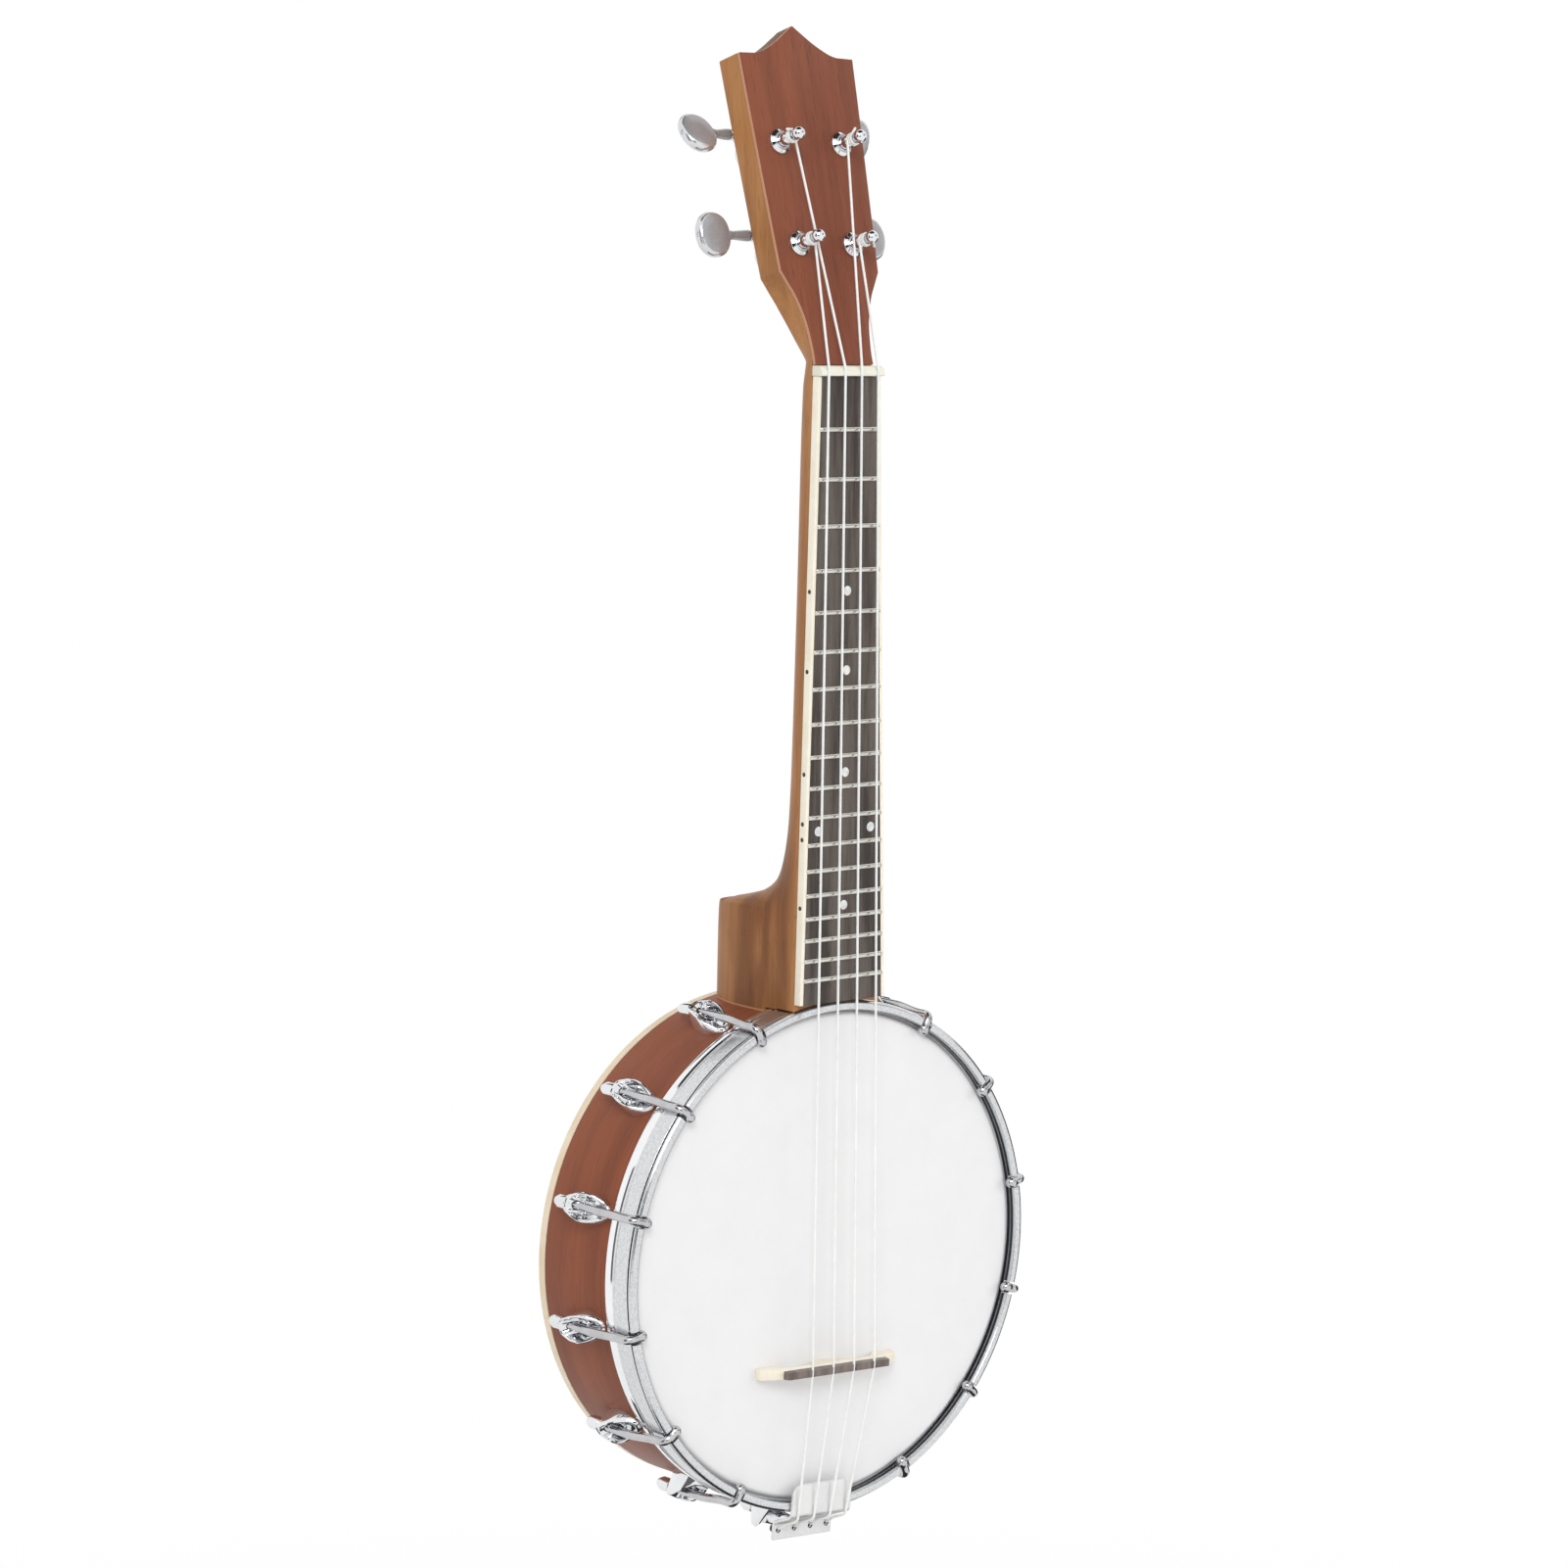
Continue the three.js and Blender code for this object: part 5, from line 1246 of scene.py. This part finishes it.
# Base plate, round gear cover and worm barrel in one pressed shell
def makeHousing(number, place):
    m = machine
    half, front, wall, cover = m["plateHalf"], m["plateFront"], m["wall"], m["cover"]
    surface = front + m["plateThickness"]
    wormPlace = shift(0, m["keyDepth"], m["keyRun"]) @ spin(-math.pi / 2 * posts[number - 1]["side"], "Z")
    low, high = m["plateLow"], m["plateHigh"]
    plate = rounded([(-half, low, 0), (half, low, 0), (half, high, 0), (-half, high, 0)], 2.2, 5, True)
    thing = makeObject("tunerHousing%d" % number, slab([(v.x, v.y) for v in plate], front, surface))
    soften(thing, 0.3, 2, 40)
    dome = profileOf(m["coverDome"], 0.6, 4, False)
    carve(thing, turned([(0, front + 0.4), (cover, front + 0.4)] + dome, 48), operation="UNION")
    bulge, reach, boss = m["barrel"], m["barrelHalf"], m["boss"]
    barrel = lathe([(0, -reach), (bulge, -reach), (bulge, reach), (boss, reach + 0.1), (boss, m["bossEnd"]),
                    (0, m["bossEnd"])], [0, 0.9, 0.9, 0.1, 0.4, 0], 40)
    carve(thing, moved(barrel, wormPlace), operation="UNION")
    inside = [(max(r - wall, 0), depth - wall * (r < cover)) for r, depth in dome]
    carve(thing, turned([(0, front - 2), (cover - wall, front - 2)] + inside, 48))
    carve(thing, moved(rod(bulge - wall, -reach + wall, reach - wall, 40), wormPlace))
    carve(thing, moved(rod(m["shaft"] + 0.25, 2, m["bossEnd"] + 2, 28), wormPlace))
    for edge, away in ((low, -1), (high, 1)):
        outline = [(m["lugHalf"], edge - away * m["lugFoot"])]
        for k in range(13):
            turn = math.pi * k / 12
            outline.append((m["lugHalf"] * math.cos(turn),
                            edge + away * (m["lugReach"] - m["lugHalf"] + m["lugHalf"] * math.sin(turn))))
        outline.append((-m["lugHalf"], edge - away * m["lugFoot"]))
        addTo(thing, makeObject("added", slab(outline, front, surface)))
        middle = edge + away * m["screwAt"]
        slotted = makeObject("screw", shifted(turned(m["screw"], 28), 0, surface, middle))
        for x, z in ((m["slotHalf"], m["slotReach"]), (m["slotReach"], m["slotHalf"])):
            carve(slotted, block((-x, surface + m["slotFloor"], middle - z), (x, surface + 2, middle + z)))
        addTo(thing, slotted)
    setDown(thing, place, chromePlating, "chrome_plating", "tuner_housing_%d" % number)


# Flat oval through levels of width and height
def ovalShape(levels):
    m = machine
    outline = []
    for k in range(64):
        angle = 2 * math.pi * k / 64
        across, along = [math.copysign(abs(f(angle)) ** (2 / m["knobPower"]), f(angle))
                         for f in (math.cos, math.sin)]
        outline.append((m["knobAcross"] * across, m["knobAlong"] * along))
    return skin([[Vector((x * ring, m["knobHalf"] * rise, z * ring)) for x, z in outline]
                 for ring, rise in levels])


# Shaft with its sleeve and worm, the knob's rim with the button at its end, and its two faces
def makeKey(number):
    m, p = machine, posts[number - 1]
    postX = abs(p["x"])
    inner, sleeve = postX - m["plateHalf"] + 1.3, postX + m["bossEnd"] + 0.25
    foot = m["knobAt"] - m["knobAcross"]
    stem = [(inner, 1.4), (inner + 0.2, m["shaft"]), (sleeve - 0.02, m["shaft"]), (sleeve, 2.1),
            (sleeve + 0.4, 2.35), (sleeve + 2.2, 2.25), (foot - 2.4, 1.8), (foot - 1.0, 1.85),
            (foot - 0.1, 2.1), (foot + 0.6, 2.15), (foot + 3, 2.0)]
    shaft = tube([(x, 0, 0) for x, r in stem], [r for x, r in stem], 28)
    worm = []
    for k in range(m["wormSteps"] + 1):
        turn = 2 * math.pi * m["wormTurns"] * k / m["wormSteps"]
        x = postX - m["wormHalf"] + 2 * m["wormHalf"] * k / m["wormSteps"]
        worm.append([Vector((x, m["wormThrow"] * math.cos(turn) + m["worm"] * math.cos(a),
                             m["wormThrow"] * math.sin(turn) + m["worm"] * math.sin(a)))
                     for a in [math.pi * s / 12 for s in range(24)]])
    button = moved(turned(m["button"], 24), shift(m["knobAcross"], 0, 0) @ spin(-math.pi / 2, "Z"))
    knob = spin(p["knob"], "X") @ shift(m["knobAt"], 0, 0)
    place = headPlace @ shift(0, m["keyDepth"], p["run"] + m["keyRun"])
    if p["side"] < 0:
        place = place @ spin(math.pi, "Y")
    rimShape = joinShapes(ovalShape(m["rimLevels"]), button)
    for name, shape, finish in (("tunerKey", joinShapes(shaft, skin(worm)), knobPlating),
                                ("tunerKnob", moved(rimShape, knob), rimPlating),
                                ("knobFaces", moved(ovalShape(m["faceLevels"]), knob), knobPlating)):
        setDown(makeObject("%s%d" % (name, number), shape), place, finish, "chrome_plating",
                "tuner_key_%d" % number, body="key_%d" % number)


for number, post in enumerate(posts, 1):
    place = headPlace @ shift(post["x"], 0, post["run"])
    makePost(number, place)
    makeBushing(number, place)
    makeHousing(number, place)
    makeKey(number)
print("tuning machines ready")


# The rod inside the pot keeps its CAD shape and gets its steel
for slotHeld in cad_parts["coordinator_rod"].material_slots:
    slotHeld.material = rodSteel


# Studio

studio = {
    "floorDepth": -0.52, "floorSize": 9.0, "floorTone": 0.86, "floorShade": 0.3, "floorNear": 0.7,
    "floorFar": 1.5, "ambient": 0.62,
    "aim": (0, -0.04, 0.16),
    # place, size, power and whether metal shows it
    "lamps": {"keyLamp": ((-2.2, -2.4, 2.2), 1.6, 52.0, True),
              "fillLamp": ((2.4, -2.2, 0.8), 2.0, 26.0, False),
              "backLamp": ((0.6, 2.4, 1.8), 2.0, 12.0, False)},
    # cards that only the metal sees: azimuth, elevation, distance, width, height and brightness
    "cards": {"cameraSide": (-40, 8, 2.6, 1.1, 1.3, 0.02),
              "leftSide": (-84, 4, 2.6, 1.4, 2.4, 0.14),
              "rightFront": (43, 25, 2.6, 1.9, 1.2, 0.42),
              "overhead": (0, 86, 2.4, 2.4, 2.0, 0.03),
              "lowRight": (94, -14, 1.1, 1.1, 0.84, 0.03),
              "under": (0, -88, 0.62, 0.7, 0.5, 0.04),
              "behind": (160, 34, 2.6, 1.3, 0.8, 0.03)},
}


# Way from the aim to a place at an azimuth and elevation
def wayTo(azimuth, elevation):
    a, e = math.radians(azimuth), math.radians(elevation)
    return Vector((math.sin(a) * math.cos(e), -math.cos(a) * math.cos(e), math.sin(e)))


def addObject(name, data):
    thing = bpy.data.objects.new(name, data)
    bpy.context.scene.collection.objects.link(thing)
    return thing


def aimFrom(thing, place):
    thing.location = place
    thing.rotation_euler = (Vector(studio["aim"]) - thing.location).to_track_quat("-Z", "Y").to_euler()


def plane(name, wide, tall, height, material):
    corners = [Vector((x * wide, y * tall, height)) for x, y in ((-1, -1), (1, -1), (1, 1), (-1, 1))]
    made = makeObject(name, (corners, [[0, 1, 2, 3]]))
    made.data.materials.append(material)
    return made


# Rays that see the background as white and not as light
def seenRays(tree):
    path = addNode(tree, "LightPath").outputs
    seen = mathNode(tree, "MAXIMUM", path["Is Camera Ray"], path["Is Glossy Ray"])
    return mathNode(tree, "MAXIMUM", seen, path["Is Transmission Ray"])


def makeStudio():
    s = studio
    tone = s["floorTone"]
    settings = {"Roughness": 0.9, "Base Color": (tone, tone, tone, 1)}
    material, tree, shader, place = newMaterial("paleFloor", settings)
    glow = addNode(tree, "Emission", {}, {"Color": (1, 1, 1, 1), "Strength": 1.0}).outputs[0]
    # the shadow shows near the object, and the far floor runs into the white
    away = vectorNode(tree, "LENGTH", {0: place})["Value"]
    keep = spread(tree, away, s["floorNear"], s["floorFar"], s["floorShade"], 0.0)
    share = times(tree, seenRays(tree), mathNode(tree, "SUBTRACT", 1.0, keep))
    mix = addNode(tree, "MixShader", {}, {0: share, 1: shader.outputs[0], 2: glow}).outputs[0]
    tree.links.new(mix, tree.nodes["Material Output"].inputs["Surface"])
    plane("floor", s["floorSize"], s["floorSize"], s["floorDepth"], material)
    world = bpy.data.worlds.new("studioLight")
    bpy.context.scene.world = world
    world.use_nodes = True
    tree = world.node_tree
    background = tree.nodes["Background"].inputs
    background["Color"].default_value = (1, 1, 1, 1)
    strength = mathNode(tree, "MULTIPLY_ADD", seenRays(tree), 1.0 - s["ambient"], s["ambient"])
    tree.links.new(strength, background["Strength"])
    for name, (at, size, power, glints) in s["lamps"].items():
        light = bpy.data.lights.new(name, "AREA")
        light.shape, light.size, light.energy = "DISK", size, power
        thing = addObject(name, light)
        thing.visible_glossy = glints
        aimFrom(thing, at)
    for name, (azimuth, elevation, distance, wide, tall, glow) in s["cards"].items():
        material = newMaterial(name, {"Base Color": (0, 0, 0, 1), "Roughness": 1.0, "Specular IOR Level": 0.0,
                                      "Emission Color": (1, 1, 1, 1), "Emission Strength": glow})[0]
        card = plane(name, wide / 2, tall / 2, 0, material)
        aimFrom(card, Vector(s["aim"]) + wayTo(azimuth, elevation) * distance)
        card.visible_camera = card.visible_diffuse = card.visible_shadow = False


camera = {"at": (-1.0797, -1.3064, 0.3830), "lens": 92.84, "sensor": 36.0, "near": 0.05, "far": 50.0,
          "azimuth": -40.1955, "elevation": 6.4399, "roll": 0.6053}


def makeCamera():
    c = camera
    data = bpy.data.cameras.new("camera")
    data.lens, data.sensor_width, data.clip_start, data.clip_end = c["lens"], c["sensor"], c["near"], c["far"]
    thing = addObject("camera", data)
    away, roll = wayTo(c["azimuth"], c["elevation"]), math.radians(c["roll"])
    right = (-away).cross(Vector((0, 0, 1))).normalized()
    up = right.cross(-away)
    across = right * math.cos(roll) + up * math.sin(roll)
    above = up * math.cos(roll) - right * math.sin(roll)
    thing.matrix_world = shift(*c["at"]) @ Matrix((across, above, away)).transposed().to_4x4()
    bpy.context.scene.camera = thing


makeStudio()
makeCamera()
bpy.context.scene.view_settings.view_transform = "Standard"
print("studio ready")
